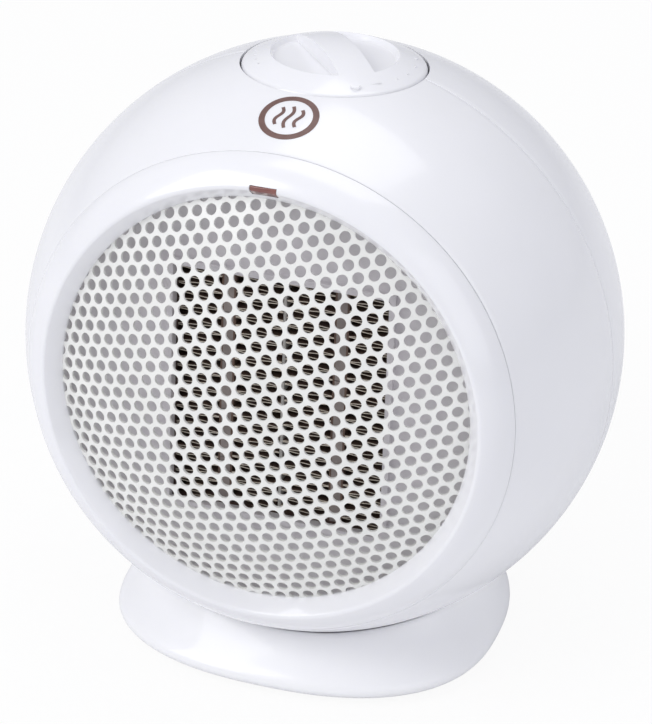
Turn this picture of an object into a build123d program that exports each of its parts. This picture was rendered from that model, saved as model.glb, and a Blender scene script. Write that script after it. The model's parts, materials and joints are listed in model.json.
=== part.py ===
"""Compact ceramic fan heater: a ball-shaped head that tilts in a low saddle base.

The head is drawn about the centre of the ball, with the hot air leaving towards -Y and the
control knob on top (+Z). It is then stood on the base, tipped back by its resting tilt.
Distances called "ahead" are measured from the ball's centre towards the outlet.
"""
import os
from math import cos, pi, radians, sin, sqrt

from build123d import *

# Ball and housings, in millimetres
ball_r = 115.0          # outside radius of the ball
shell = 2.4             # moulded wall
ball_lift = 6.0         # lowest point of the ball above the floor
tilt_rest = 5.6         # degrees that the outlet points up when it stands as shown
tilt_low = 0.0          # degrees, outlet level
tilt_high = 11.6        # degrees, outlet as high as it goes
slack = 0.3             # gap between pieces that slip together
run_gap = 0.05          # radial gap of a turning fit

# Outlet ring
seam_r = 96.0           # radius of the seam between ring and front housing
lip_r = 86.0            # radius of the ring's front lip
lip_ahead = 10.7        # how far the lip stands ahead of the seam
lip_round = 1.5         # rounding of the lip
mouth_r = 80.2          # radius of the opening that frames the grille
mouth_back = 6.3        # how far the mouth lies behind the lip
flange = 1.6            # thickness of the flange at the mouth
seat_w = 4.6            # width of the seat for the grille's rim
spigot = 7.5            # length of the spigot inside the front housing
lip_bulge = 0.9         # how far the ring swells between seam and lip
lens_w = 10.4           # indicator lens, across
lens_under = 2.4        # its lower edge outside the mouth
lens_over = 1.0         # its upper edge outside the lip
lamp_r = 2.8
lamp_l = 11.8
lamp_room = 3.5         # half height of the room for the lamp

# Domed outlet grille
sheet = 1.0             # sheet metal
dome_rise = 18.0        # height of the dome above its rim
hole_pitch = 9.0        # spacing of the holes
hole_w = 6.0            # width of a hole across its flats
hole_turn = 14.6        # degrees that the rows of holes are turned in the rim
grille_rim = 2.2        # unpierced border

# Baffle behind the grille, and the window that the heater looks through
window_w = 85.0
window_h = 97.0
window_drop = 7.0       # window centre below the axis
baffle_depth = 15.0     # from the back of the grille rim to the baffle's face
baffle_t = 2.0
pan_r = 65.5            # flat middle of the baffle
pan_rise = 9.0          # how far its sloping border comes forward
tube_t = 2.0            # wall that holds the grille rim against the ring
tube_gap = 0.8          # from the mouth's radius to that wall
ledge_w = 3.0           # from that wall to the housing's ledge

# Ceramic heater
rail = 6.0              # width of the heater frame's rails
heater_lip = 2.0        # lips that keep the core in the frame
frame_depth = 16.0
core_depth = 12.0
stone_w = 4.0           # thickness of a ceramic stone
stones_high = 5         # stones in each of the two rows
electrode_t = 0.8
spacer_t = 1.2
fin_t = 0.5
fin_pitch = 7.4         # height of one fold of the fins
tab_up = 9.0            # how far the electrode tabs stand above the core
tab_w = 6.0
cutout_r = 7.0          # flange of the thermal cut-out
cutout_cap = 4.5        # radius of its cap
cutout_h = 4.5          # height of its body
cutout_x = 10.2         # its place along the frame's top rail
blade_gap = 8.0         # between its two terminals

# Fan and motor
fan_room = 3.0          # room between the duct and the switch above it
duct_t = 2.0
duct_room = 16.0        # from the hub's back to the end of the duct
fan_gap = 8.1           # from the hub's front to the ceramic heater
tip_gap = 1.5
hub_r = 17.0
hub_l = 22.0
nut_t = 3.0
blades = 7
blade_t = 1.6
bush_wall = 3.0         # radial wall of a bearing
bush_l = 5.0
motor_r = 21.0
motor_l = 40.0
can_t = 1.2
rotor_r = 16.0
shaft_r = 2.5
bracket_t = 1.6
lug_r = 3.6
screw_r = 1.6

# Knob and rotary switch
knob_r = 34.8
knob_gap = 0.7          # visible gap round the knob
knob_skirt = 10.5       # height of the knob's side
knob_crown = 3.0        # how far the grip stands above the ball
bar_w = 13.0            # width of the grip bar
bar_turn = -50.5        # degrees, where the grip points when the heater is off
scoop_r = 31.0          # radius of the finger scoops above the crown
scoop_deep = 6.7        # depth of their floor below the grip's top
scoop_lean = 26         # degrees that their walls lean
scoop_over = 1.0        # how far their cutter stands above the crown
stem_r = 3.0            # switch shaft
bush_r = 4.6            # threaded bush of the switch
bush_up = 4.0           # how far the bush stands above the well's floor
flat_at = 1.5           # flat of the shaft, from its axis
socket_up = 5.0         # lower end of the knob's socket above the well's floor
switch_w = 34.0
switch_h = 20.0
plate_t = 2.0

# Housing screws and rear inlet
post_in = 18.0          # circle of the screw posts inside the ball's surface
post_r = 5.0
head_h = 2.4            # height of a housing screw's head
well_bore = 3.9         # access bore for the screw heads
slot_w = 3.2
slot_pitch = 7.0
slot_field = 56.0       # radius of the slotted field
screen_r = 63.7
screen_back = 3.0       # room behind the inlet screen
screen_pitch = 16.0
gland_drop = 76.0       # cord outlet below the axis
gland_pocket = 6.5
gland_seat = 78.0       # how far behind the centre the gland is seated
gland_bore = 3.6
gland_wall = 1.0
gland_flange = 1.5
gland_l = 6.0           # how far the gland stands out of its seat

# Tilt track under the ball, and its clamp
track_w = 44.0
track_deep = 13.0
slot_end = 1.5          # room for the clamp bolt at each end of its slot
pad_half = 14.0         # half length of the base's pad, along the tilt
bolt_r = 2.9
shoe_t = 3.8
nut_h = 4.0
cone_t = 1.0            # thickness of a cone washer
cone_rise = 0.6         # height of its cone
cones = 4

# Base
cup_gap = 0.5           # between ball and base
base_wall = 2.4
foot_half = 76.7        # half width of the base at its rim
foot_front = 59.2       # rim ahead of the outline's middle
foot_rear = 77.6        # rim behind the outline's middle
foot_mid = 15.8         # outline's middle ahead of the ball's centre
foot_power = 2.4        # squareness of the outline
collar_half = 69.6      # half width of the collar round the ball
collar_reach = 57.5     # collar ahead of and behind the ball's centre
collar_top = 31.6       # height of the collar's highest points
rim_up = 6.3            # height of the widest part of the rim
plate_up = 1.4          # underside of the base plate above the floor
base_plate_t = 1.8
rubber_r = 7.5
plunger_back = 50.0     # tip-over plunger behind the ball's centre
plunger_r = 5.0
plunger_travel = 2.5
boss_x, boss_y = 40.0, 26.0         # screw bosses from the ball's centre
boss_r = 3.6
foot_x, foot_ahead, foot_behind = 43.0, 48.0, 38.0
rim_tuck = 5.0          # how far the skirt tucks in below its rim
cheek_t = 2.0           # cheeks that hold the tip-over switch
tip_l, tip_w, tip_h = 16.0, 7.0, 5.0
tip_gap_low = 1.6       # from the raised plunger's collar to the switch
shoe_l, shoe_w = 26.0, 24.0
bolt_head = 3.2

# Worked-out sizes of the head
seam_d = sqrt(ball_r**2 - seam_r**2)
lip_d = seam_d + lip_ahead
mouth_d = lip_d - mouth_back
grille_d = mouth_d - flange
spigot_r = sqrt((ball_r - shell) ** 2 - seam_d**2) - slack
spigot_end = seam_d - spigot
tube_end = grille_d - sheet
baffle_d = tube_end - baffle_depth
frame_d = baffle_d - baffle_t
duct_d = frame_d - frame_depth
well_r = knob_r + knob_gap
well_top = sqrt(ball_r**2 - well_r**2)
well_floor = well_top - knob_skirt - knob_gap
switch_top = well_floor - shell - plate_t
duct_r = switch_top - switch_h - fan_room
bore_r = duct_r - duct_t
fan_r = bore_r - tip_gap
track_r = ball_r - track_deep
post_at = (ball_r - post_in) * sin(pi / 4)
hub_ahead = duct_d - fan_gap
duct_back = hub_l + duct_room - hub_ahead
bracket_d = -duct_back - bracket_t
lens_low = mouth_r + lens_under
lens_high = lip_r + lens_over
lamp_z = mouth_r + 2 * lamp_room
core_w = window_w + 2 * heater_lip - 2 * slack
core_h = window_h + 2 * heater_lip - 2 * slack
dome_r = (mouth_r**2 + dome_rise**2) / (2 * dome_rise)
grille_front = grille_d + dome_rise

# Where the ball's centre stands: the origin is below the middle of the whole outline
tilt = radians(tilt_rest)
nose = (grille_front - dome_r) * cos(tilt) + dome_r
head_y = (nose - ball_r) / 2
head_z = ball_r + ball_lift
head_at = Location((0, head_y, head_z), (-tilt_rest, 0, 0))


def ahead(distance):
    """Plane facing the outlet, this far ahead of the ball's centre."""
    return Plane.XZ.offset(distance)


def rd(radius, distance):
    """Point of a half section that is turned about the outlet's axis."""
    return (radius, -distance)


def corners(reach):
    return [(sx * reach, sz * reach) for sx in (-1, 1) for sz in (-1, 1)]


# Ball skin and its hollow: the knob's well on top, the tilt track underneath
def ball_body(radius, well_radius, floor, track_radius, track_width, spread):
    low = radians(90 - tilt_high) - spread
    high = radians(90 - tilt_low) + spread
    reach = ball_r * 1.2
    with BuildPart() as body:
        Sphere(radius)
        with BuildSketch(Plane.XY.offset(floor)):
            Circle(well_radius)
        extrude(amount=ball_r, mode=Mode.SUBTRACT)
        with BuildSketch(Plane.YZ):
            with BuildLine():
                Polyline(
                    (0, 0),
                    (reach * cos(low), -reach * sin(low)),
                    (0, -reach * 1.5),
                    (reach * cos(high), -reach * sin(high)),
                    close=True,
                )
            make_face()
            Circle(track_radius, mode=Mode.SUBTRACT)
        extrude(amount=track_width / 2, both=True, mode=Mode.SUBTRACT)
    return body.part


pad_spread = (pad_half + 3 * slack) / track_r
ball_skin = ball_body(ball_r, well_r, well_floor, track_r, track_w, pad_spread)
ball_hollow = ball_body(
    ball_r - shell,
    well_r + shell,
    well_floor - shell,
    track_r - shell,
    track_w + 2 * shell,
    pad_spread + shell / track_r,
)

# Slot in the track for the clamp bolt, as wide as the bolt and as long as the tilt
with BuildPart() as bolt_slot:
    slot_from = track_r * sin(radians(tilt_low))
    slot_to = track_r * sin(radians(tilt_high))
    with BuildSketch(Plane.XY.offset(-track_r - shell)):
        with Locations((0, (slot_from + slot_to) / 2)):
            SlotOverall(slot_to - slot_from + 2 * (bolt_r + slot_end), 2 * bolt_r + 4 * slack, rotation=90)
    extrude(amount=6 * shell)

stem_hole = bush_r + slack

with BuildPart() as front_posts:
    with BuildSketch(ahead(plate_t)):
        with Locations(*corners(post_at)):
            Circle(post_r)
    extrude(amount=spigot_end - 1.5 * baffle_t - plate_t)
    Sphere(ball_r - shell / 2, mode=Mode.INTERSECT)

with BuildPart() as front_housing:
    add(ball_skin)
    add(ball_hollow, mode=Mode.SUBTRACT)
    add(bolt_slot.part, mode=Mode.SUBTRACT)
    split(bisect_by=Plane.XZ, keep=Keep.TOP)
    add(front_posts.part)
    with BuildSketch(Plane.XY):
        with BuildLine():
            ledge_out = sqrt((ball_r - shell / 2) ** 2 - spigot_end**2)
            ledge_in = mouth_r + tube_t + ledge_w
            Polyline(
                rd(ledge_in, spigot_end - baffle_t),
                rd(ledge_out, spigot_end - baffle_t),
                rd(ledge_out, spigot_end - 2 * baffle_t),
                rd(ledge_in, spigot_end - 2 * baffle_t),
                close=True,
            )
        make_face()
    revolve(axis=Axis.Y)
    split(bisect_by=ahead(seam_d), keep=Keep.BOTTOM)
    with BuildSketch(ahead(plate_t)):
        with Locations(*corners(post_at)):
            Circle(screw_r + slack / 3)
    extrude(amount=4 * post_r, mode=Mode.SUBTRACT)
    with BuildSketch(ahead(0)):
        with Locations((0, lamp_z)):
            Rectangle(2 * lamp_room, 2 * lamp_room + 2 * slack)
    extrude(amount=spigot_end, mode=Mode.SUBTRACT, dir=(0, -1, 0))
    with Locations((0, 0, well_floor - shell / 2)):
        Cylinder(stem_hole, 3 * shell, mode=Mode.SUBTRACT)

with BuildPart() as rear_towers:
    with BuildSketch(Plane.XZ):
        with Locations(*corners(post_at)):
            Circle(post_r)
    extrude(amount=-ball_r)
    Sphere(ball_r - shell / 2, mode=Mode.INTERSECT)

with BuildPart() as screen_collar:
    screen_d = sqrt((ball_r - shell) ** 2 - screen_r**2) - screen_back
    with BuildSketch(ahead(-screen_d + 2 * sheet)):
        Circle(screen_r + slack + shell)
        Circle(screen_r + slack, mode=Mode.SUBTRACT)
    extrude(amount=-ball_r)
    Sphere(ball_r - shell / 2, mode=Mode.INTERSECT)

with BuildPart() as gland_boss:
    with BuildSketch(ahead(-gland_seat + shell)):
        with Locations((0, -gland_drop)):
            Circle(gland_pocket + shell)
    extrude(amount=-ball_r)
    Sphere(ball_r - shell / 2, mode=Mode.INTERSECT)

with BuildPart() as rear_housing:
    add(ball_skin)
    add(ball_hollow, mode=Mode.SUBTRACT)
    add(bolt_slot.part, mode=Mode.SUBTRACT)
    split(bisect_by=Plane.XZ, keep=Keep.BOTTOM)
    add(rear_towers.part)
    add(screen_collar.part)
    add(gland_boss.part)
    with BuildSketch(ahead(-gland_seat)):
        with Locations((0, -gland_drop)):
            Circle(gland_pocket)
    extrude(amount=-ball_r, mode=Mode.SUBTRACT)
    with BuildSketch(Plane.XZ):
        with Locations((0, -gland_drop)):
            Circle(gland_bore + gland_wall + slack / 3)
        with Locations(*corners(post_at)):
            Circle(screw_r + slack)
    extrude(amount=-ball_r, mode=Mode.SUBTRACT)
    with BuildSketch(ahead(-post_r)):
        with Locations(*corners(post_at)):
            Circle(well_bore)
    extrude(amount=-ball_r, mode=Mode.SUBTRACT)
    with BuildSketch(ahead(-screen_d)):
        rows = int(slot_field / slot_pitch)
        for row in range(-rows, rows + 1):
            height = row * slot_pitch
            reach = sqrt(max(slot_field**2 - height**2, 0.0))
            if reach > 3 * slot_w:
                part_w = (2 * reach - 2 * slot_w) / 3
                with Locations(*[(k * (part_w + slot_w), height) for k in (-1, 0, 1)]):
                    Rectangle(part_w, slot_w)
    extrude(amount=-ball_r, mode=Mode.SUBTRACT)
    with Locations((0, 0, well_floor - shell / 2)):
        Cylinder(stem_hole, 3 * shell, mode=Mode.SUBTRACT)

# Outlet ring: outer sweep, rounded lip, funnel to the mouth, seat and spigot
with BuildPart() as front_ring:
    with BuildSketch(Plane.XY) as ring_section:
        with BuildLine():
            mid_r = (seam_r + lip_r) / 2 + lip_bulge
            mid_d = (seam_d + lip_d) / 2 + lip_bulge
            ThreePointArc(rd(seam_r, seam_d), rd(mid_r, mid_d), rd(lip_r, lip_d))
            Polyline(
                rd(lip_r, lip_d),
                rd(mouth_r, mouth_d),
                rd(mouth_r, grille_d),
                rd(mouth_r + seat_w + slack, grille_d),
                rd(lip_r + slack, lip_d - 2 * flange),
                rd(spigot_r - shell, seam_d + slack),
                rd(spigot_r - shell, spigot_end),
                rd(spigot_r, spigot_end),
                rd(spigot_r, seam_d),
                rd(seam_r, seam_d),
            )
        make_face()
        lip_corner = ring_section.vertices().sort_by(Axis.Y)[0]
        fillet(lip_corner, lip_round)
    revolve(axis=Axis.Y)
    with BuildSketch(ahead(grille_d - sheet)):
        with Locations((0, (lens_low + lens_high) / 2)):
            Rectangle(lens_w, lens_high - lens_low)
    extrude(amount=lip_ahead, mode=Mode.SUBTRACT)

with BuildPart() as indicator_lens:
    with BuildSketch(Plane.YZ):
        with BuildLine():
            low_z = lens_low + slack / 2
            top_z = lens_high - slack / 2
            foot_z = mouth_r + seat_w + slack
            slope = (lip_d - mouth_d) / (lip_r - mouth_r)
            Polyline(
                (-(grille_d + slack / 3), low_z),
                (-(mouth_d + slope * (low_z - mouth_r) + slack), low_z),
                (-(lip_d + slack), lip_r - lip_round / 2),
                (-(lip_d - slack), top_z),
                (-(spigot_end + shell), top_z),
                (-(spigot_end + shell), foot_z),
                (-(grille_d + slack / 3), foot_z),
                close=True,
            )
        make_face()
    extrude(amount=(lens_w - slack) / 2, both=True)

with BuildPart() as indicator_lamp:
    with BuildSketch(ahead(spigot_end + shell - slack - lamp_l)):
        with Locations((0, lamp_z)):
            Circle(lamp_r)
    extrude(amount=lamp_l)

# Domed grille: spherical cap on a flat rim, pierced in a 60 degree pattern
with BuildPart() as hole_prisms:
    with BuildSketch(ahead(grille_d - sheet)) as hole_field:
        row_step = hole_pitch * sqrt(3) / 2
        count = int(mouth_r / row_step) + 1
        spots = []
        turn = radians(hole_turn)
        for row in range(-count, count + 1):
            for col in range(-count - 1, count + 2):
                u = (col + 0.5 * (row % 2)) * hole_pitch
                v = row * row_step
                if u * u + v * v < (mouth_r - grille_rim - hole_w / 2) ** 2:
                    spots.append((u * cos(turn) - v * sin(turn), u * sin(turn) + v * cos(turn)))
        with Locations(*spots):
            RegularPolygon(hole_w / 2, 6, major_radius=False, rotation=hole_turn)
    extrude(amount=2 * dome_rise + lip_ahead)

with BuildPart() as grille:
    with BuildSketch(Plane.XY):
        with BuildLine():
            apex = grille_d + dome_rise
            half = mouth_r * 0.5
            outer_mid = apex - dome_r + sqrt(dome_r**2 - half**2)
            inner_mid = apex - dome_r + sqrt((dome_r - sheet) ** 2 - half**2)
            edge_r = mouth_r - slack
            edge_d = apex - dome_r + sqrt(dome_r**2 - edge_r**2)
            inner_r = mouth_r - 2 * sheet
            inner_d = apex - dome_r + sqrt((dome_r - sheet) ** 2 - inner_r**2)
            ThreePointArc(rd(0, apex), rd(half, outer_mid), rd(edge_r, edge_d))
            Polyline(
                rd(edge_r, edge_d),
                rd(edge_r, grille_d),
                rd(mouth_r + seat_w, grille_d),
                rd(mouth_r + seat_w, tube_end),
                rd(inner_r, tube_end),
                rd(inner_r, inner_d),
            )
            ThreePointArc(rd(inner_r, inner_d), rd(half, inner_mid), rd(0, apex - sheet))
            Line(rd(0, apex - sheet), rd(0, apex))
        make_face()
    revolve(axis=Axis.Y)
    add(hole_prisms.part, mode=Mode.SUBTRACT)

# Baffle pan behind the grille
with BuildPart() as outlet_baffle:
    with BuildSketch(Plane.XY):
        with BuildLine():
            tube_in = mouth_r + tube_gap
            tube_out = tube_in + tube_t
            cone_run = (tube_out - pan_r) / pan_rise
            cone_r = pan_r + baffle_t / 2 + cone_run * (spigot_end - baffle_t - frame_d)
            Polyline(
                rd(0, baffle_d),
                rd(pan_r, baffle_d),
                rd(tube_in, baffle_d + pan_rise),
                rd(tube_in, tube_end),
                rd(tube_out, tube_end),
                rd(tube_out, spigot_end),
                rd(spigot_r, spigot_end),
                rd(spigot_r, spigot_end - baffle_t),
                rd(cone_r, spigot_end - baffle_t),
                rd(pan_r + baffle_t / 2, frame_d),
                rd(0, frame_d),
                close=True,
            )
        make_face()
    revolve(axis=Axis.Y)
    with BuildSketch(ahead(frame_d)):
        with Locations((0, -window_drop)):
            Rectangle(window_w, window_h)
    extrude(amount=baffle_depth, mode=Mode.SUBTRACT)
    with BuildSketch(ahead(baffle_d)):
        with Locations((0, -window_drop)):
            Rectangle(window_w + 2 * shell, window_h + 2 * shell)
            Rectangle(window_w, window_h, mode=Mode.SUBTRACT)
    extrude(amount=shell)
    with BuildSketch(ahead(frame_d)):
        with Locations((0, lamp_z)):
            Rectangle(2 * lamp_r + 2 * slack, 2 * lamp_room + 2 * slack)
    extrude(amount=baffle_depth, mode=Mode.SUBTRACT)

# Heater frame, loaded from behind
module = (core_w - spacer_t) / 2
fin_w = (module - stone_w - 2 * electrode_t) / 2
core_d = frame_d - heater_lip
electrode_x = [
    side * (spacer_t / 2 + fin_w + electrode_t / 2 + near * (stone_w + electrode_t))
    for side in (-1, 1)
    for near in (0, 1)
]
with BuildPart() as heater_frame:
    with BuildSketch(ahead(duct_d)):
        with Locations((0, -window_drop)):
            RectangleRounded(window_w + 2 * rail, window_h + 2 * rail, rail / 2)
            Rectangle(window_w, window_h, mode=Mode.SUBTRACT)
    extrude(amount=frame_depth)
    with BuildSketch(ahead(duct_d)):
        with Locations((0, -window_drop)):
            Rectangle(core_w + 2 * slack, core_h + 2 * slack)
    extrude(amount=frame_depth - heater_lip, mode=Mode.SUBTRACT)
    with BuildSketch(Plane.XY.offset(0)):
        with Locations(*[(x, -(core_d - core_depth / 2)) for x in electrode_x]):
            Rectangle(electrode_t + 2 * slack, tab_w + 2 * slack)
    extrude(amount=window_h, mode=Mode.SUBTRACT)

# Ceramic stones in two upright rows
stone_h = core_h / stones_high
stone_x = [side * (spacer_t / 2 + fin_w + electrode_t + stone_w / 2) for side in (-1, 1)]
with BuildPart() as ptc_stones:
    with BuildSketch(ahead(core_d - core_depth)):
        levels = [-window_drop + (k - (stones_high - 1) / 2) * stone_h for k in range(stones_high)]
        with Locations(*[(x, z) for x in stone_x for z in levels]):
            Rectangle(stone_w, stone_h - slack)
    extrude(amount=core_depth)

# Electrode plates either side of each row, with tabs that stand out of the frame
with BuildPart() as electrode_plates:
    with BuildSketch(ahead(core_d - core_depth)):
        with Locations(*[(x, -window_drop) for x in electrode_x]):
            Rectangle(electrode_t, core_h)
    extrude(amount=core_depth)
    with BuildSketch(ahead(core_d - (core_depth + tab_w) / 2)):
        with Locations(*[(x, core_h / 2 - window_drop + tab_up / 2) for x in electrode_x]):
            Rectangle(electrode_t, tab_up)
    extrude(amount=tab_w)

# Corrugated aluminium fins: one folded strip in each of the four columns
fin_x = [
    side * (spacer_t / 2 + fin_w / 2 + outer * (fin_w + stone_w + 2 * electrode_t))
    for side in (-1, 1)
    for outer in (0, 1)
]
folds = int(core_h / fin_pitch)


def folded_strip(middle):
    """Closed outline of a strip folded to and fro as it climbs the column about this x."""
    start = -window_drop - folds * fin_pitch / 2
    half, rise = fin_t / 2, fin_pitch / 2
    left, right = middle - fin_w / 2 + 2 * half, middle + fin_w / 2 - 2 * half
    inner, outer = [], []
    for k in range(folds):
        z = start + k * fin_pitch
        inner += [(left - half, z + half), (right - half, z + half)]
        inner += [(right - half, z + rise - half), (left - half, z + rise - half)]
        outer += [(left + half, z - half), (right + half, z - half)]
        outer += [(right + half, z + rise + half), (left + half, z + rise + half)]
    return inner + outer[::-1]


with BuildPart() as heater_fins:
    with BuildSketch(ahead(core_d - core_depth)):
        for middle in fin_x:
            Polygon(*folded_strip(middle), align=None)
    extrude(amount=core_depth)

with BuildPart() as core_spacer:
    with BuildSketch(ahead(core_d - core_depth)):
        with Locations((0, -window_drop)):
            Rectangle(spacer_t - slack / 3, core_h)
    extrude(amount=core_depth)

# Bimetal cut-out seated on the frame's top rail
frame_top = window_h / 2 + rail - window_drop
with BuildPart() as thermal_cutout:
    with BuildSketch(Plane.XY.offset(frame_top)):
        with Locations((cutout_x, -(duct_d + frame_depth / 2))):
            Circle(cutout_r)
    extrude(amount=cutout_h)
    with BuildSketch(Plane.XY.offset(frame_top + cutout_h)):
        with Locations((cutout_x, -(duct_d + frame_depth / 2))):
            Circle(cutout_cap)
            with GridLocations(blade_gap, 0, 2, 1):
                Rectangle(electrode_t, cutout_cap)
    extrude(amount=cutout_h - slack * 5)
    fillet(thermal_cutout.edges().filter_by(GeomType.CIRCLE).sort_by(Axis.Z)[-1], 2 * slack)

# Fan duct: plate against the heater frame, round duct, ears to the screw posts, lugs behind
corner_r = sqrt((window_w / 2 + rail) ** 2 + (window_h / 2 + rail + window_drop) ** 2)
lug_at = (duct_r + lug_r - 1.0) * sin(pi / 4)
ear_in = bore_r * sin(pi / 4)
ear_w = post_r * sin(pi / 4)
with BuildPart() as fan_duct:
    with BuildSketch(ahead(duct_d - duct_t)):
        Circle(max(corner_r, duct_r + 2 * duct_t))
    extrude(amount=duct_t)
    with BuildSketch(ahead(-duct_back)):
        Circle(duct_r)
    extrude(amount=duct_back + duct_d)
    with BuildSketch(ahead(-duct_back)):
        with Locations(*corners(lug_at)):
            Circle(lug_r)
    extrude(amount=duct_back + duct_d)
    with BuildSketch(ahead(0)):
        for sx, sz in corners(1):
            Polygon(
                (sx * (ear_in - ear_w), sz * (ear_in + ear_w)),
                (sx * (post_at - ear_w), sz * (post_at + ear_w)),
                (sx * (post_at + ear_w), sz * (post_at - ear_w)),
                (sx * (ear_in + ear_w), sz * (ear_in - ear_w)),
                align=None,
            )
        with Locations(*corners(post_at)):
            Circle(post_r)
    extrude(amount=plate_t)
    with BuildSketch(ahead(-duct_back)):
        Circle(bore_r)
        with Locations(*corners(post_at)):
            Circle(screw_r + slack)
    extrude(amount=ball_r, mode=Mode.SUBTRACT)
    with BuildSketch(ahead(-duct_back)):
        with Locations(*corners(lug_at)):
            Circle(screw_r * 0.75)
    extrude(amount=4 * lug_r, mode=Mode.SUBTRACT)

# Sheet bracket that carries the motor across the back of the duct
with BuildPart() as motor_bracket:
    with BuildSketch(ahead(bracket_d)):
        Circle(motor_r + slack)
        for angle in (45, 135):
            SlotCenterToCenter(2 * lug_at * sqrt(2), 2 * lug_r, rotation=angle)
        Circle(motor_r * 0.4, mode=Mode.SUBTRACT)
        with Locations(*corners(lug_at)):
            Circle(screw_r, mode=Mode.SUBTRACT)
    extrude(amount=bracket_t)

with BuildPart() as bracket_screws:
    with BuildSketch(ahead(bracket_d)):
        with Locations(*corners(lug_at)):
            Circle(screw_r * 0.75 - run_gap)
    extrude(amount=3 * lug_r)
    with BuildSketch(ahead(bracket_d)):
        with Locations(*corners(lug_at)):
            Circle(screw_r * 1.8)
    extrude(amount=-screw_r)

# Motor: can with bearing seats, bearings, rotor and shaft
bush_out = shaft_r + bush_wall
with BuildPart() as motor_can:
    with BuildSketch(Plane.XY):
        with BuildLine():
            back = bracket_d - motor_l
            Polyline(
                rd(bush_out + slack / 3, bracket_d),
                rd(motor_r, bracket_d),
                rd(motor_r, back),
                rd(bush_out + 2 * can_t, back),
                rd(bush_out + 2 * can_t, back - bush_l),
                rd(shaft_r + slack, back - bush_l),
                rd(shaft_r + slack, back - bush_l + can_t),
                rd(bush_out + slack / 3, back - bush_l + can_t),
                rd(bush_out + slack / 3, back + can_t),
                rd(motor_r - can_t, back + can_t),
                rd(motor_r - can_t, bracket_d - can_t),
                rd(bush_out + slack / 3, bracket_d - can_t),
                close=True,
            )
        make_face()
    revolve(axis=Axis.Y)
    with BuildSketch(Plane.XY.offset(-motor_r)):
        with Locations((0, -(bracket_d - motor_l / 2))):
            SlotOverall(motor_l / 2, 2 * shaft_r, rotation=90)
    extrude(amount=2 * motor_r, mode=Mode.SUBTRACT)

with BuildPart() as motor_bearings:
    with BuildSketch(Plane.XY):
        with BuildLine():
            Polyline(
                rd(shaft_r + run_gap, bracket_d + bracket_t),
                rd(bush_out, bracket_d + bracket_t),
                rd(bush_out, bracket_d - can_t),
                rd(bush_out + can_t, bracket_d - can_t),
                rd(bush_out + can_t, bracket_d - 2 * can_t),
                rd(shaft_r + run_gap, bracket_d - 2 * can_t),
                close=True,
            )
        make_face()
        with BuildLine():
            Polyline(
                rd(shaft_r + run_gap, back + can_t),
                rd(bush_out, back + can_t),
                rd(bush_out, back - bush_l + can_t),
                rd(shaft_r + run_gap, back - bush_l + can_t),
                close=True,
            )
        make_face()
    revolve(axis=Axis.Y)

with BuildPart() as motor_rotor:
    with BuildSketch(ahead(back + 3 * can_t)):
        Circle(rotor_r)
        Circle(shaft_r + run_gap, mode=Mode.SUBTRACT)
    extrude(amount=motor_l - 7 * can_t)

with BuildPart() as motor_shaft:
    with BuildSketch(ahead(back - bush_l + can_t + slack)):
        Circle(shaft_r)
    extrude(amount=hub_ahead + nut_t + 1.0 - (back - bush_l + can_t + slack))
    chamfer(motor_shaft.edges().filter_by(GeomType.CIRCLE), shaft_r * 0.15)

# Impeller: domed hub with twisted blades
blade_mid = hub_ahead - hub_l * 0.5
with BuildPart() as blade:
    for reach, pitch_angle, chord in (
        (hub_r * 0.85, 48, 22.0),
        (fan_r * 0.62, 38, 27.0),
        (fan_r, 28, 31.0),
    ):
        with BuildSketch(Plane((reach, 0, 0), x_dir=(0, 1, 0), z_dir=(1, 0, 0)).rotated((pitch_angle, 0, 0))):
            with BuildLine():
                camber = chord * 0.09
                ThreePointArc((-chord / 2, 0), (0, camber), (chord / 2, 0))
                Line((chord / 2, 0), (chord / 2, -blade_t * 0.6))
                ThreePointArc((chord / 2, -blade_t * 0.6), (0, camber - blade_t), (-chord / 2, -blade_t * 0.6))
                Line((-chord / 2, -blade_t * 0.6), (-chord / 2, 0))
            make_face()
    loft()

with BuildPart() as impeller:
    with BuildSketch(Plane.XY):
        with BuildLine():
            Polyline(
                rd(shaft_r + run_gap, hub_ahead),
                rd(hub_r - 5.0, hub_ahead),
                rd(hub_r, hub_ahead - 5.0),
                rd(hub_r, hub_ahead - hub_l),
                rd(hub_r - shell, hub_ahead - hub_l),
                rd(hub_r - shell, hub_ahead - 3 * shell),
                rd(shaft_r + shell, hub_ahead - 3 * shell),
                rd(shaft_r + shell, hub_ahead - hub_l),
                rd(shaft_r + run_gap, hub_ahead - hub_l),
                close=True,
            )
        make_face()
    revolve(axis=Axis.Y)
    with Locations(Plane.XZ.offset(blade_mid).location):
        with PolarLocations(0, blades):
            add(blade.part)
    with BuildSketch(ahead(hub_ahead - hub_l)):
        Circle(hub_r - shell)
        Circle(shaft_r + shell, mode=Mode.SUBTRACT)
    extrude(amount=hub_l - 3 * shell, mode=Mode.SUBTRACT)

with BuildPart() as fan_nut:
    with BuildSketch(ahead(hub_ahead)):
        RegularPolygon(2 * shaft_r, 6, major_radius=False)
        Circle(shaft_r + run_gap, mode=Mode.SUBTRACT)
    extrude(amount=nut_t)

# Inlet screen inside the slotted field
with BuildPart() as inlet_screen:
    with BuildSketch(ahead(-screen_d)):
        Circle(screen_r)
        Circle(screen_r - shell, mode=Mode.SUBTRACT)
        wires = int(screen_r / screen_pitch)
        for k in range(-wires, wires + 1):
            run = 2 * sqrt(screen_r**2 - (k * screen_pitch) ** 2) - 2 * sheet
            with Locations((k * screen_pitch, 0)):
                Rectangle(sheet, run)
            with Locations((0, k * screen_pitch)):
                Rectangle(run, sheet)
    extrude(amount=sheet)

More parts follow.
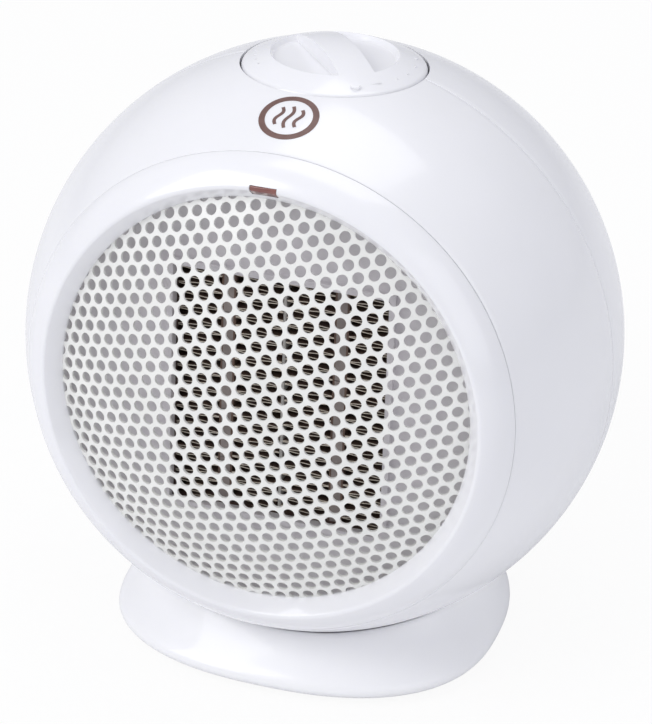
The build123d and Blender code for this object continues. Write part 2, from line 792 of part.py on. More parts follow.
with BuildPart() as cord_gland:
    with BuildSketch(Plane.XY):
        with BuildLine():
            Polyline(
                rd(gland_bore, -gland_seat + shell + gland_flange),
                rd(gland_bore + gland_wall, -gland_seat + shell + gland_flange),
                rd(gland_bore + gland_wall, -gland_seat),
                rd(gland_pocket - slack, -gland_seat),
                rd(gland_pocket - slack, -gland_seat - gland_flange),
                rd(gland_bore + gland_flange, -gland_seat - gland_l),
                rd(gland_bore, -gland_seat - gland_l),
                close=True,
            )
        make_face()
    revolve(axis=Axis.Y)

with BuildPart() as housing_screws:
    with BuildSketch(ahead(-post_r)):
        with Locations(*corners(post_at)):
            Circle(screw_r)
    extrude(amount=post_r + plate_t + 3 * post_r)
    with BuildSketch(ahead(-post_r)):
        with Locations(*corners(post_at)):
            Circle(well_bore - slack)
            RegularPolygon(screw_r, 6, mode=Mode.SUBTRACT)
    extrude(amount=-head_h)
    with BuildSketch(ahead(-post_r)):
        with Locations(*corners(post_at)):
            Circle(well_bore - slack)
    extrude(amount=-head_h / 3)

# Rotary switch under the knob
with BuildPart() as switch_plate:
    with BuildSketch(Plane.XY.offset(switch_top)):
        RectangleRounded(1.5 * switch_w, switch_w, bush_up)
        Circle(stem_hole, mode=Mode.SUBTRACT)
    extrude(amount=plate_t)

with BuildPart() as rotary_switch:
    with BuildSketch(Plane.XY.offset(switch_top - switch_h)):
        RectangleRounded(switch_w, switch_w - 2 * plate_t, stem_r)
    extrude(amount=switch_h)
    with BuildSketch(Plane.XY.offset(switch_top)):
        Circle(bush_r)
    extrude(amount=plate_t + shell + bush_up)
    with BuildSketch(Plane.XY.offset(switch_top - 2 * stem_r)):
        Circle(stem_r + run_gap)
    extrude(amount=ball_r, mode=Mode.SUBTRACT)

with BuildPart() as switch_nut:
    with BuildSketch(Plane.XY.offset(well_floor)):
        RegularPolygon(bush_r + shell, 6, major_radius=False)
        Circle(bush_r + run_gap, mode=Mode.SUBTRACT)
    extrude(amount=bush_up / 2)

hub_base = well_floor + socket_up
shaft_top = well_top - 1.0
shaft_low = switch_top - 2 * stem_r + slack
with BuildPart() as switch_shaft:
    with BuildSketch(Plane.XY.offset(shaft_low)):
        Circle(stem_r)
    extrude(amount=shaft_top - shaft_low)
    with BuildSketch(Plane.XY.offset(hub_base)):
        with Locations((flat_at + stem_r, 0)):
            Rectangle(2 * stem_r, 3 * stem_r)
    extrude(amount=ball_r, mode=Mode.SUBTRACT)

# Knob: crowned disc with two scoops that leave a grip bar, hollow below
crown_top = ball_r + knob_crown
knob_base = well_floor + knob_gap
knob_edge = well_top + 0.2
crown_r = (knob_r**2 + (crown_top - knob_edge) ** 2) / (2 * (crown_top - knob_edge))
with BuildPart() as scoops:
    with BuildSketch(Plane.XY.offset(crown_top + scoop_over)):
        Circle(scoop_r)
        Rectangle(3 * scoop_r, bar_w - bush_up, rotation=bar_turn, mode=Mode.SUBTRACT)
    extrude(amount=-scoop_deep - scoop_over, taper=scoop_lean)

with BuildPart() as control_knob:
    with BuildSketch(Plane.XZ) as knob_section:
        with BuildLine():
            half_top = knob_r * 0.5
            mid_top = crown_top - crown_r + sqrt(crown_r**2 - half_top**2)
            ThreePointArc((0, crown_top), (half_top, mid_top), (knob_r, knob_edge))
            Polyline((knob_r, knob_edge), (knob_r, knob_base), (0, knob_base), (0, crown_top))
        make_face()
        fillet(knob_section.vertices().sort_by(Axis.X)[-2:].sort_by(Axis.Y)[-1], 1.0)
    revolve(axis=Axis.Z)
    with BuildSketch(Plane.XY.offset(knob_base)):
        Circle(knob_r - shell)
    extrude(amount=crown_top - scoop_deep - 1.3 * shell - knob_base, mode=Mode.SUBTRACT)
    with BuildSketch(Plane.XY.offset(hub_base)):
        Circle(2.2 * stem_r)
    extrude(amount=crown_top - scoop_deep - shell / 2 - hub_base)
    add(scoops.part, mode=Mode.SUBTRACT)
    with BuildSketch(Plane.XY.offset(hub_base)):
        Circle(stem_r + run_gap)
        with Locations((flat_at + stem_r + run_gap, 0)):
            Rectangle(2 * stem_r, 3 * stem_r, mode=Mode.SUBTRACT)
    extrude(amount=shaft_top + run_gap - hub_base, mode=Mode.SUBTRACT)


# Base: skirt that grows from an oval collar round the ball to a squarer rim
def outline(height, spread, inset):
    """Level section of the skirt; spread runs from 0 at the collar to 1 at the rim."""
    points = []
    for step in range(28):
        angle = 2 * pi * step / 28
        power = 2 / (2 + (foot_power - 2) * spread)
        across = abs(cos(angle)) ** power * (1 if cos(angle) >= 0 else -1)
        along = abs(sin(angle)) ** power * (1 if sin(angle) >= 0 else -1)
        width = collar_half + (foot_half - collar_half) * spread - inset
        foot_depth = foot_rear if along > 0 else foot_front
        depth = collar_reach + (foot_depth - collar_reach) * spread - inset
        points.append((across * width, head_y - foot_mid * spread + along * depth))
    return height, points


def skirt(sections, inset):
    with BuildPart() as body:
        for height, spread, tuck in sections:
            level, points = outline(height, spread, inset + tuck)
            with BuildSketch(Plane.XY.offset(level)):
                with BuildLine():
                    Spline(*points, periodic=True)
                make_face()
        loft()
    return body.part


# Levels of the skirt: height, spread, and how far the level is tucked in below the rim
flare = [
    (plate_up, 1.0, rim_tuck),
    (rim_up * 0.45, 1.0, rim_tuck * 0.38),
    (rim_up, 1.0, 0.0),
    (rim_up * 1.5, 0.93, 0.0),
    (rim_up * 2.2, 0.62, 0.0),
    (rim_up * 3.1, 0.28, 0.0),
    (rim_up * 4.1, 0.08, 0.0),
    (collar_top, 0.0, 0.0),
]
skirt_outer = skirt(flare, 0.0)
inner_flare = [(plate_up - sheet, 1.0, rim_tuck)] + flare[1:-1] + [(collar_top + sheet, 0.0, 0.0)]
skirt_inner = skirt(inner_flare, base_wall)

plate_top = plate_up + base_plate_t
pad_top = track_r + cup_gap
pad_wall = base_wall + cup_gap
boss_at = [(sx * boss_x, head_y + sy * boss_y) for sx in (-1, 1) for sy in (-1, 1)]

with BuildPart() as cup_hollow:
    add(skirt_inner)
    with Locations((0, head_y, head_z)):
        Sphere(ball_r + cup_gap + base_wall, mode=Mode.SUBTRACT)

with BuildPart() as tilt_pad:
    with BuildSketch(Plane.XY.offset(plate_top)):
        with Locations((0, head_y)):
            Rectangle(track_w - 2 * slack, 2 * pad_half)
    extrude(amount=head_z)
    with BuildSketch(Plane.YZ):
        with Locations((head_y, head_z)):
            Circle(pad_top)
    extrude(amount=track_w, both=True, mode=Mode.SUBTRACT)
    split(bisect_by=Plane.XY.offset(head_z / 2), keep=Keep.BOTTOM)

with BuildPart() as pad_hollow:
    with BuildSketch(Plane.XY):
        with Locations((0, head_y)):
            Rectangle(track_w - 2 * slack - 2 * base_wall, 2 * pad_half - 2 * base_wall)
    extrude(amount=head_z - pad_top - pad_wall)

with BuildPart() as base_shell:
    add(skirt_outer)
    with Locations((0, head_y, head_z)):
        Sphere(ball_r + cup_gap, mode=Mode.SUBTRACT)
    add(cup_hollow.part, mode=Mode.SUBTRACT)
    with BuildSketch(Plane.XY.offset(plate_top)):
        with Locations(*boss_at):
            Circle(boss_r)
    extrude(amount=ball_lift + boss_r)
    with Locations((0, head_y, head_z)):
        Sphere(ball_r + cup_gap, mode=Mode.SUBTRACT)
    add(tilt_pad.part)
    add(pad_hollow.part, mode=Mode.SUBTRACT)
    with BuildSketch(Plane.XY):
        with Locations((0, head_y)):
            Circle(bolt_r + slack)
    extrude(amount=head_z, mode=Mode.SUBTRACT)
    with BuildSketch(Plane.XY):
        with Locations(*boss_at):
            Circle(screw_r * 0.75)
    extrude(amount=ball_lift, mode=Mode.SUBTRACT)


foot_at = [(sx * foot_x, head_y + y) for sx in (-1, 1) for y in (-foot_ahead, foot_behind)]
plunger_at = (0, head_y + plunger_back)
switch_low = plate_top + plunger_travel + tip_gap_low
switch_high = switch_low + tip_h
with BuildPart() as base_plate:
    level, rim_points = outline(plate_up, 1.0, rim_tuck + base_wall + 2 * slack)
    with BuildSketch(Plane.XY.offset(plate_up)):
        with BuildLine():
            Spline(*rim_points, periodic=True)
        make_face()
        with Locations(plunger_at):
            Circle(plunger_r + slack, mode=Mode.SUBTRACT)
        with Locations(*boss_at):
            Circle(screw_r, mode=Mode.SUBTRACT)
        with Locations(*foot_at):
            Circle(rubber_r * 0.4, mode=Mode.SUBTRACT)
    extrude(amount=base_plate_t)
    with BuildSketch(Plane.XY.offset(plate_top)):
        with Locations(plunger_at):
            with GridLocations(tip_l + cheek_t + slack, 0, 2, 1):
                Rectangle(cheek_t, tip_w + sheet)
    extrude(amount=switch_high - plate_top)

with BuildPart() as rubber_feet:
    with BuildSketch(Plane.XY):
        with Locations(*foot_at):
            Circle(rubber_r)
    extrude(amount=plate_up)
    chamfer(rubber_feet.edges().group_by(Axis.Z)[0], plate_up * 0.3)
    with BuildSketch(Plane.XY.offset(plate_up)):
        with Locations(*foot_at):
            Circle(rubber_r * 0.4 - run_gap)
    extrude(amount=base_plate_t + sheet)

with BuildPart() as base_screws:
    with BuildSketch(Plane.XY.offset(plate_up)):
        with Locations(*boss_at):
            Circle(screw_r * 0.75 - run_gap)
    extrude(amount=2 * base_plate_t)
    with BuildSketch(Plane.XY.offset(plate_up)):
        with Locations(*boss_at):
            Circle(2 * screw_r)
    extrude(amount=-plate_up * 0.7)

# Tip-over switch and its plunger, held up by the floor
with BuildPart() as tip_switch:
    with BuildSketch(Plane.XY.offset(switch_low)):
        with Locations(plunger_at):
            Rectangle(tip_l, tip_w)
    extrude(amount=tip_h)
    fillet(tip_switch.edges().filter_by(Axis.Z), 2 * slack)

with BuildPart() as tip_plunger:
    with BuildSketch(Plane.XY):
        with Locations(plunger_at):
            Circle(plunger_r)
    extrude(amount=switch_low - sheet)
    chamfer(tip_plunger.edges().group_by(Axis.Z)[0], plunger_r / 6)
    with BuildSketch(Plane.XY.offset(plate_top + plunger_travel + slack / 3)):
        with Locations(plunger_at):
            Circle(plunger_r + tip_gap_low)
    extrude(amount=sheet)

# Clamp that holds the tilt: shoe inside the ball, bolt, cone washers and nut under the pad
shoe_low = head_z - (track_r - shell - slack)
shoe_flat = shoe_low + shoe_t
with BuildPart() as tilt_shoe:
    with BuildSketch(Plane.XY.offset(shoe_low - sheet)):
        with Locations((0, head_y)):
            RectangleRounded(shoe_l, shoe_w, bolt_r)
    extrude(amount=shoe_t + sheet)
    with BuildSketch(Plane.YZ):
        with Locations((head_y, head_z)):
            Circle(track_r - shell - slack)
    extrude(amount=track_w, both=True, mode=Mode.INTERSECT)
    with BuildSketch(Plane.XY):
        with Locations((0, head_y)):
            Circle(bolt_r + run_gap)
    extrude(amount=head_z, mode=Mode.SUBTRACT)

pad_under = head_z - pad_top - pad_wall
cone_step = cone_t + cone_rise + run_gap
washer_low = pad_under - cones * cone_step
nut_low = washer_low - nut_h
with BuildPart() as tilt_bolt:
    with BuildSketch(Plane.XY.offset(nut_low - sheet)):
        with Locations((0, head_y)):
            Circle(bolt_r)
    extrude(amount=shoe_flat - nut_low + sheet)
    with BuildSketch(Plane.XY.offset(shoe_flat)):
        with Locations((0, head_y)):
            Circle(2.1 * bolt_r)
    extrude(amount=bolt_head)
    fillet(tilt_bolt.edges().group_by(Axis.Z)[-1], bolt_head * 0.4)

with BuildPart() as tilt_washers:
    for k in range(cones):
        foot = washer_low + k * cone_step
        inner_z, outer_z = (foot, foot + cone_rise) if k % 2 else (foot + cone_rise, foot)
        with BuildSketch(Plane.XZ.offset(-head_y)):
            Polygon(
                (bolt_r + slack, inner_z),
                (2 * bolt_r, outer_z),
                (2 * bolt_r, outer_z + cone_t),
                (bolt_r + slack, inner_z + cone_t),
                align=None,
            )
        revolve(axis=Axis((0, head_y, 0), (0, 0, 1)))

with BuildPart() as tilt_nut:
    with BuildSketch(Plane.XY.offset(nut_low)):
        with Locations((0, head_y)):
            RegularPolygon(1.75 * bolt_r, 6, major_radius=False)
            Circle(bolt_r + run_gap, mode=Mode.SUBTRACT)
    extrude(amount=nut_h)

# Stand the head on its base and write every piece
head_pieces = {
    "front_ring": front_ring,
    "indicator_lens": indicator_lens,
    "indicator_lamp": indicator_lamp,
    "grille": grille,
    "outlet_baffle": outlet_baffle,
    "front_housing": front_housing,
    "rear_housing": rear_housing,
    "heater_frame": heater_frame,
    "ptc_stones": ptc_stones,
    "electrode_plates": electrode_plates,
    "heater_fins": heater_fins,
    "core_spacer": core_spacer,
    "thermal_cutout": thermal_cutout,
    "fan_duct": fan_duct,
    "motor_bracket": motor_bracket,
    "bracket_screws": bracket_screws,
    "motor_can": motor_can,
    "motor_bearings": motor_bearings,
    "motor_rotor": motor_rotor,
    "motor_shaft": motor_shaft,
    "impeller": impeller,
    "fan_nut": fan_nut,
    "inlet_screen": inlet_screen,
    "housing_screws": housing_screws,
    "switch_plate": switch_plate,
    "rotary_switch": rotary_switch,
    "switch_nut": switch_nut,
    "switch_shaft": switch_shaft,
    "control_knob": control_knob,
}
gland_at = Location((0, 0, -gland_drop))
base_pieces = {
    "base_shell": base_shell,
    "base_plate": base_plate,
    "rubber_feet": rubber_feet,
    "base_screws": base_screws,
    "tip_switch": tip_switch,
    "tip_plunger": tip_plunger,
    "tilt_shoe": tilt_shoe,
    "tilt_bolt": tilt_bolt,
    "tilt_washers": tilt_washers,
    "tilt_nut": tilt_nut,
}
os.makedirs("parts", exist_ok=True)
for name, piece in head_pieces.items():
    stood = piece.part.moved(head_at)
    stood.label = name
    export_step(stood, f"parts/{name}.step")
gland = cord_gland.part.moved(head_at * gland_at)
gland.label = "cord_gland"
export_step(gland, "parts/cord_gland.step")
for name, piece in base_pieces.items():
    piece.part.label = name
    export_step(piece.part, f"parts/{name}.step")
print("head centre", round(head_y, 3), round(head_z, 3), "fan radius", round(fan_r, 2))
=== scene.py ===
# %% [markdown]
# # A ball-shaped ceramic fan heater
# The construction arrives as a fixed frame in metres: every plate, screw and shaft stands at its
# real place. This lesson gives the heater its looks. What a buyer sees, such as the glossy ball,
# the pierced grille and the knob, is modelled afresh with fine curves. The rest gets a finish.

import json
from math import asin, atan2, cos, degrees, hypot, pi, radians, sin, sqrt

import bmesh
import bpy
from mathutils import Matrix, Vector


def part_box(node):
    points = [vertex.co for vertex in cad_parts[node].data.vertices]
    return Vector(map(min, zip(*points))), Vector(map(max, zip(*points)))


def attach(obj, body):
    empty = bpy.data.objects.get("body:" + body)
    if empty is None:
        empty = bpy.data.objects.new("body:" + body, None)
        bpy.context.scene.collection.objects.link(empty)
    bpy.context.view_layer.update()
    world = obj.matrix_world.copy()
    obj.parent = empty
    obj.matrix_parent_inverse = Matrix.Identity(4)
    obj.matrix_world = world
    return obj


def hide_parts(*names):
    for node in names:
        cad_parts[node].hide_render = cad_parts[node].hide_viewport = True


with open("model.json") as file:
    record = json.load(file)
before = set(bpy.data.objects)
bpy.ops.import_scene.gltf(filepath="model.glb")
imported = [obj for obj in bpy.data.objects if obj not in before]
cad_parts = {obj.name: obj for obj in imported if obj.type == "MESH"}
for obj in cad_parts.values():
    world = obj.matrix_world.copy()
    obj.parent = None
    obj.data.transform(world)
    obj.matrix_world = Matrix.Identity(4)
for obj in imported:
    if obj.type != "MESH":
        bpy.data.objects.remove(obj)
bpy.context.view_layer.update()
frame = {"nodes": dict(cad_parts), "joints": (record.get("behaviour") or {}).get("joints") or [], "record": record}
mm = 0.001

# %% [markdown]
# ## Where the ball stands
# The head is a ball that tilts in its base. Its centre is the tilt hinge's place, and the knob's
# axis leans back by the resting tilt. Shapes on the ball are drawn upright about its centre, with
# the outlet towards -Y, and one matrix then stands them in place.

# %% Ball centre, radius and tilt
joints = {joint["name"]: joint for joint in frame["joints"]}
ball_centre = Vector(joints["head_tilt"]["pos_m"])
knob_axis = -Vector(joints["knob_turn"]["axis"])
tilt = atan2(knob_axis.y, knob_axis.z)
head_place = Matrix.Translation(ball_centre) @ Matrix.Rotation(-tilt, 4, "X")
low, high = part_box("rear_housing")
ball_r = (high.x - low.x) / 2
print("ball radius", round(ball_r, 4), "tilt", round(degrees(tilt), 2))

# %% [markdown]
# ## Camera
# The photo was taken from the front right and from above. A long lens far away keeps the ball
# round. Its place was found by fitting the ball's outline, the grille's rim and the window.

# %% Camera at the photo's angle
view_turn = radians(19.94)
view_height = radians(29.76)
view_far = 12 * ball_r
focal_px = 3582.46
picture_px = 724
ball_right = -0.003546 * ball_r
ball_up = 0.098547 * ball_r
right = Vector((cos(view_turn), sin(view_turn), 0))
back = Vector((sin(view_turn) * cos(view_height), -cos(view_turn) * cos(view_height), sin(view_height)))
up = back.cross(right)
camera_data = bpy.data.cameras.new("camera")
camera = bpy.data.objects.new("camera", camera_data)
bpy.context.scene.collection.objects.link(camera)
turn = Matrix((right, up, back)).transposed().to_4x4()
eye = ball_centre - ball_right * right - ball_up * up + view_far * back
camera.matrix_world = Matrix.Translation(eye) @ turn
camera_data.sensor_width = 36
camera_data.lens = camera_data.sensor_width * focal_px / picture_px
camera_data.clip_end = 20
bpy.context.scene.camera = camera
print("camera at", [round(v, 3) for v in eye], "lens", round(camera_data.lens, 1))

# %% [markdown]
# ## Drawing by hand, in code
# Most of this heater is turned work, so a few helpers repeat what a modeller does by hand. A
# single point is extruded along an outline, and the outline is spun round an axis. A cutter is
# subtracted and thrown away. Everything is deselected first, because operators act on all that
# is selected.

# %% Helpers: start, draw, spin, cut and place
def alone(piece):
    """Makes piece the only selected object, in object mode."""
    if bpy.context.mode != "OBJECT":
        bpy.ops.object.mode_set(mode="OBJECT")
    bpy.ops.object.select_all(action="DESELECT")
    piece.select_set(True)
    bpy.context.view_layer.objects.active = piece
    return piece


def fresh(name):
    """Names the object that was just added and returns it."""
    piece = bpy.context.active_object
    piece.name = piece.data.name = name
    return alone(piece)


def draw(name, points):
    """An object whose mesh is one line of edges through points."""
    bpy.ops.object.select_all(action="DESELECT")
    bpy.ops.mesh.primitive_plane_add(size=mm)
    piece = fresh(name)
    bpy.ops.object.mode_set(mode="EDIT")
    bpy.ops.mesh.merge(type="CENTER")
    bpy.ops.transform.translate(value=points[0])
    for here, there in zip(points, points[1:]):
        step = Vector(there) - Vector(here)
        bpy.ops.mesh.extrude_region_move(TRANSFORM_OT_translate={"value": step})
    bpy.ops.object.mode_set(mode="OBJECT")
    return piece


def clean(piece, near=0.02 * mm):
    """Merges doubles and turns every face outwards."""
    alone(piece)
    bpy.ops.object.mode_set(mode="EDIT")
    bpy.ops.mesh.select_all(action="SELECT")
    bpy.ops.mesh.remove_doubles(threshold=near)
    bpy.ops.mesh.normals_make_consistent(inside=False)
    bpy.ops.object.mode_set(mode="OBJECT")
    return piece


def spun(name, points, axis=(0, 1, 0), steps=160):
    """A body of revolution about an axis through the ball's centre."""
    piece = draw(name, points)
    bpy.ops.object.mode_set(mode="EDIT")
    bpy.ops.mesh.select_all(action="SELECT")
    bpy.ops.mesh.spin(steps=steps, angle=2 * pi, center=(0, 0, 0), axis=axis)
    return clean(piece)


def modify(piece, kind, **settings):
    """Adds a modifier and applies it."""
    alone(piece)
    modifier = piece.modifiers.new(kind.lower(), kind)
    for key, value in settings.items():
        setattr(modifier, key, value)
    bpy.ops.object.modifier_apply(modifier=modifier.name)
    return piece


def ease(piece, width, segments=3, angle=40):
    """Rounds every edge that is sharper than angle."""
    return modify(piece, "BEVEL", width=width, segments=segments, limit_method="ANGLE",
                  angle_limit=radians(angle), use_clamp_overlap=True)


def boolean(piece, other, operation="DIFFERENCE"):
    """Cuts, joins or keeps what piece shares with other, and removes other."""
    modify(piece, "BOOLEAN", operation=operation, solver="EXACT", object=other)
    bpy.data.objects.remove(other)
    return piece


def rod(name, radius, near, far, x=0.0, z=0.0, steps=48):
    """A plain round rod along the outlet's axis, from near to far ahead of the ball's centre."""
    bpy.ops.object.select_all(action="DESELECT")
    middle = (x, -(near + far) / 2, z)
    bpy.ops.mesh.primitive_cylinder_add(
        vertices=steps, radius=radius, depth=far - near, location=middle, rotation=(pi / 2, 0, 0))
    piece = fresh(name)
    bpy.ops.object.transform_apply(location=True, rotation=True, scale=True)
    return piece


def block(name, low, high):
    """A box between two corners."""
    bpy.ops.object.select_all(action="DESELECT")
    bpy.ops.mesh.primitive_cube_add(size=1, location=(Vector(low) + Vector(high)) / 2)
    piece = fresh(name)
    piece.scale = Vector(high) - Vector(low)
    bpy.ops.object.transform_apply(location=True, rotation=True, scale=True)
    return piece


def smooth(piece, angle=32):
    alone(piece)
    bpy.ops.object.shade_smooth_by_angle(angle=radians(angle))
    return piece


def stand(piece, place=head_place):
    """Puts a piece drawn about the ball's centre in its place, and the place in its mesh."""
    alone(piece)
    piece.matrix_world = place
    bpy.ops.object.transform_apply(location=True, rotation=True, scale=True)
    return piece


def rd(radius, ahead):
    """Point of a half section: this far from the outlet's axis, this far ahead of the centre."""
    return (radius, -ahead, 0)


def arc(radius, start, end, count, centre=0.0):
    """Points of a circle about the axis, from angle start to angle end above the equator."""
    angles = [start + (end - start) * k / count for k in range(count + 1)]
    return [rd(radius * cos(a), centre + radius * sin(a)) for a in angles]


def report(piece):
    print(piece.name, "faces", len(piece.data.polygons))


# %% [markdown]
# ## Finishes
# The housings are injection-moulded, glossy white plastic: a near-white base, a little light let
# in below the surface, and a faint orange peel that only the reflections show. The patterns read
# Object coordinates, which are metres here, so a scale of 40 repeats every 25 mm. What is the
# same all over a surface is set on the shader's own sockets.

# %% Helpers: a material with a fine bump and a little uneven colour
def shader(name, colour, roughness, metallic=0.0, **sockets):
    """A new material and its Principled shader."""
    material = bpy.data.materials.new(name)
    material.use_nodes = True
    surface = material.node_tree.nodes["Principled BSDF"]
    surface.inputs["Base Color"].default_value = (*colour, 1)
    surface.inputs["Roughness"].default_value = roughness
    surface.inputs["Metallic"].default_value = metallic
    for key, value in sockets.items():
        surface.inputs[key.replace("_", " ")].default_value = value
    return material, surface


def noise(material, scale, detail=3.0, stretch=(1, 1, 1)):
    """Noise over Object coordinates; stretch draws the grain out along an axis."""
    nodes, links = material.node_tree.nodes, material.node_tree.links
    coordinates = nodes.new("ShaderNodeTexCoord")
    mapping = nodes.new("ShaderNodeMapping")
    mapping.inputs["Scale"].default_value = stretch
    texture = nodes.new("ShaderNodeTexNoise")
    texture.inputs["Scale"].default_value = scale
    texture.inputs["Detail"].default_value = detail
    links.new(coordinates.outputs["Object"], mapping.inputs["Vector"])
    links.new(mapping.outputs["Vector"], texture.inputs["Vector"])
    return texture


def grain(material, surface, scale, strength, depth=0.1 * mm, stretch=(1, 1, 1)):
    """Bump from noise."""
    nodes, links = material.node_tree.nodes, material.node_tree.links
    texture = noise(material, scale, stretch=stretch)
    bump = nodes.new("ShaderNodeBump")
    bump.inputs["Strength"].default_value = strength
    bump.inputs["Distance"].default_value = depth
    links.new(texture.outputs["Fac"], bump.inputs["Height"])
    links.new(bump.outputs["Normal"], surface.inputs["Normal"])


def ramp_between(material, socket, texture, first, second, span=(0.35, 0.65)):
    """Colours or greys a socket between two values by a texture."""
    nodes, links = material.node_tree.nodes, material.node_tree.links
    ramp = nodes.new("ShaderNodeValToRGB")
    ramp.color_ramp.elements[0].position, ramp.color_ramp.elements[1].position = span
    ramp.color_ramp.elements[0].color = (*first, 1)
    ramp.color_ramp.elements[1].color = (*second, 1)
    links.new(texture.outputs["Fac"], ramp.inputs["Fac"])
    links.new(ramp.outputs["Color"], socket)


def grey(value):
    return (value, value, value)


# %% White plastics: the ball, the ring, the knob and the base
def moulded_white(name, tint, roughness, peel):
    material, surface = shader(name, tint, roughness, IOR=1.5, Coat_Weight=0.35, Coat_Roughness=0.06)
    surface.inputs["Subsurface Weight"].default_value = 0.06
    surface.inputs["Subsurface Radius"].default_value = (0.004, 0.004, 0.005)
    surface.inputs["Subsurface Scale"].default_value = 1.0
    grain(material, surface, 900, peel, depth=0.03 * mm)
    uneven = noise(material, 30)
    darker = tuple(0.985 * part for part in tint)
    ramp_between(material, surface.inputs["Base Color"], uneven, darker, tint)
    return material


gloss_white = moulded_white("gloss_white", (0.87, 0.87, 0.895), 0.22, 0.10)
base_white = moulded_white("base_white", (0.95, 0.95, 0.965), 0.38, 0.14)
print("white plastics ready")

# %% Painted sheet metal of the grille
grille_paint, grille_surface = shader("grille_paint", (0.84, 0.84, 0.81), 0.4, Coat_Weight=0.25)
grain(grille_paint, grille_surface, 1600, 0.25, depth=0.05 * mm)
ramp_between(grille_paint, grille_surface.inputs["Base Color"], noise(grille_paint, 60),
             (0.81, 0.81, 0.78), (0.86, 0.86, 0.83))
print("grille paint ready")

# %% [markdown]
# ## Finishes of the inner parts
# Behind the holes lie a pale baffle, a dark frame, ceramic bars and aluminium fins, whose sides
# are painted dark brown as shade. They are seen in small pieces only, but they give the window its depth.
# One function makes each finish from a table of slots, and a second loop hands them to the nodes
# by the slot that the record gives each one.

# %% A finish for every slot of the record
def plain_finish(name, colour, roughness, metallic, scale, bump, spread, stretch=(1, 1, 1)):
    material, surface = shader(name, colour, roughness, metallic)
    grain(material, surface, scale, bump, depth=0.05 * mm, stretch=stretch)
    darker = tuple(part * (1 - spread) for part in colour)
    ramp_between(material, surface.inputs["Base Color"], noise(material, scale / 6), darker, colour)
    return material


finishes = {
    "gloss_white": gloss_white,
    "base_white": base_white,
    "grille_paint": grille_paint,
    "baffle_grey": plain_finish("baffle_grey", (0.86, 0.83, 0.86), 0.5, 0.0, 500, 0.1, 0.08),
    "ceramic": plain_finish("ceramic", (0.38, 0.33, 0.31), 0.8, 0.0, 700, 0.5, 0.25),
    # fin_aluminium: its dark brown is painted shade on the sides of the fins
    "fin_aluminium": plain_finish("fin_aluminium", (0.20, 0.13, 0.10), 0.55, 0.3, 400, 0.2, 0.3),
    "frame_dark": plain_finish("frame_dark", (0.10, 0.06, 0.05), 0.6, 0.0, 600, 0.3, 0.3),
    "spacer_white": plain_finish("spacer_white", (0.55, 0.53, 0.5), 0.7, 0.0, 500, 0.2, 0.1),
    "black_plastic": plain_finish("black_plastic", (0.03, 0.03, 0.032), 0.5, 0.0, 900, 0.3, 0.2),
    "fan_white": plain_finish("fan_white", (0.55, 0.55, 0.56), 0.4, 0.0, 500, 0.1, 0.05),
    "zinc_steel": plain_finish("zinc_steel", (0.55, 0.56, 0.58), 0.35, 1.0, 300, 0.15, 0.15),
    "ground_steel": plain_finish("ground_steel", (0.62, 0.62, 0.63), 0.28, 1.0, 300, 0.15, 0.1,
                                 stretch=(1, 8, 1)),
    "bronze": plain_finish("bronze", (0.42, 0.26, 0.10), 0.45, 1.0, 700, 0.3, 0.2),
    "nickel_brass": plain_finish("nickel_brass", (0.62, 0.58, 0.46), 0.3, 1.0, 400, 0.1, 0.1),
    "grey_rubber": plain_finish("grey_rubber", (0.42, 0.42, 0.44), 0.75, 0.0, 900, 0.4, 0.1),
}

# %% Smoky brown plastic of the indicator's lens
lens_brown, lens_surface = shader("lens_brown", (0.20, 0.07, 0.055), 0.12, Coat_Weight=0.5)
streak = noise(lens_brown, 60, detail=1.0)
ramp_between(lens_brown, lens_surface.inputs["Base Color"], streak,
             (0.15, 0.045, 0.04), (0.30, 0.12, 0.10))
grain(lens_brown, lens_surface, 500, 0.1)
finishes["lens_brown"] = lens_brown

lamp_glass, lamp_surface = shader("lamp_glass", (0.9, 0.5, 0.3), 0.1)
lamp_surface.inputs["Transmission Weight"].default_value = 0.6
grain(lamp_glass, lamp_surface, 400, 0.1)
finishes["lamp_glass"] = lamp_glass

# %% Give every carried node the finish of its slot
slot_of = {part["node"]: part["material_slot"] for part in frame["record"]["subparts"]}
for name, node in frame["nodes"].items():
    node.data.materials.clear()
    node.data.materials.append(finishes[slot_of[name]])
print("finished nodes", len(slot_of))


def dress(piece, body, slot, *nodes):
    """Last step of every new piece: finish, body, slot and the nodes that it stands for."""
    piece.data.materials.clear()
    piece.data.materials.append(finishes[slot])
    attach(piece, body)
    if nodes:
        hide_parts(*nodes)
    report(piece)
    return piece


# %% [markdown]
# ## The ball
# The ball is two moulded half shells that meet at the equator, with the outlet ring let into the
# front one. A sphere primitive would put its poles where the light shows them, so each shell is
# drawn as a thin arc with an inner wall and spun about the outlet's axis. The knob's well, the
# screw wells and the inlet slots are then cut out.

# %% Sizes of the ball
shell = 2.4 * mm
seam_gap = 0.22 * mm
seam_r = 96.0 * mm
lip_r = 86.0 * mm
lip_ahead = 10.7 * mm
mouth_r = 80.2 * mm
mouth_back = 6.3 * mm
seam_d = sqrt(ball_r**2 - seam_r**2)
lip_d = seam_d + lip_ahead
mouth_d = lip_d - mouth_back
grille_d = mouth_d - 1.6 * mm
well_r = 35.5 * mm
well_top = sqrt(ball_r**2 - well_r**2)
well_floor = well_top - 11.2 * mm


# %% Well of the knob: a cup that each half shell carries its half of
def well_cutter():
    bpy.ops.object.select_all(action="DESELECT")
    bpy.ops.mesh.primitive_cylinder_add(vertices=128, radius=well_r, depth=ball_r,
                                        location=(0, 0, well_floor + ball_r / 2))
    cutter = fresh("well_cutter")
    bpy.ops.object.transform_apply(location=True, rotation=True, scale=True)
    return cutter


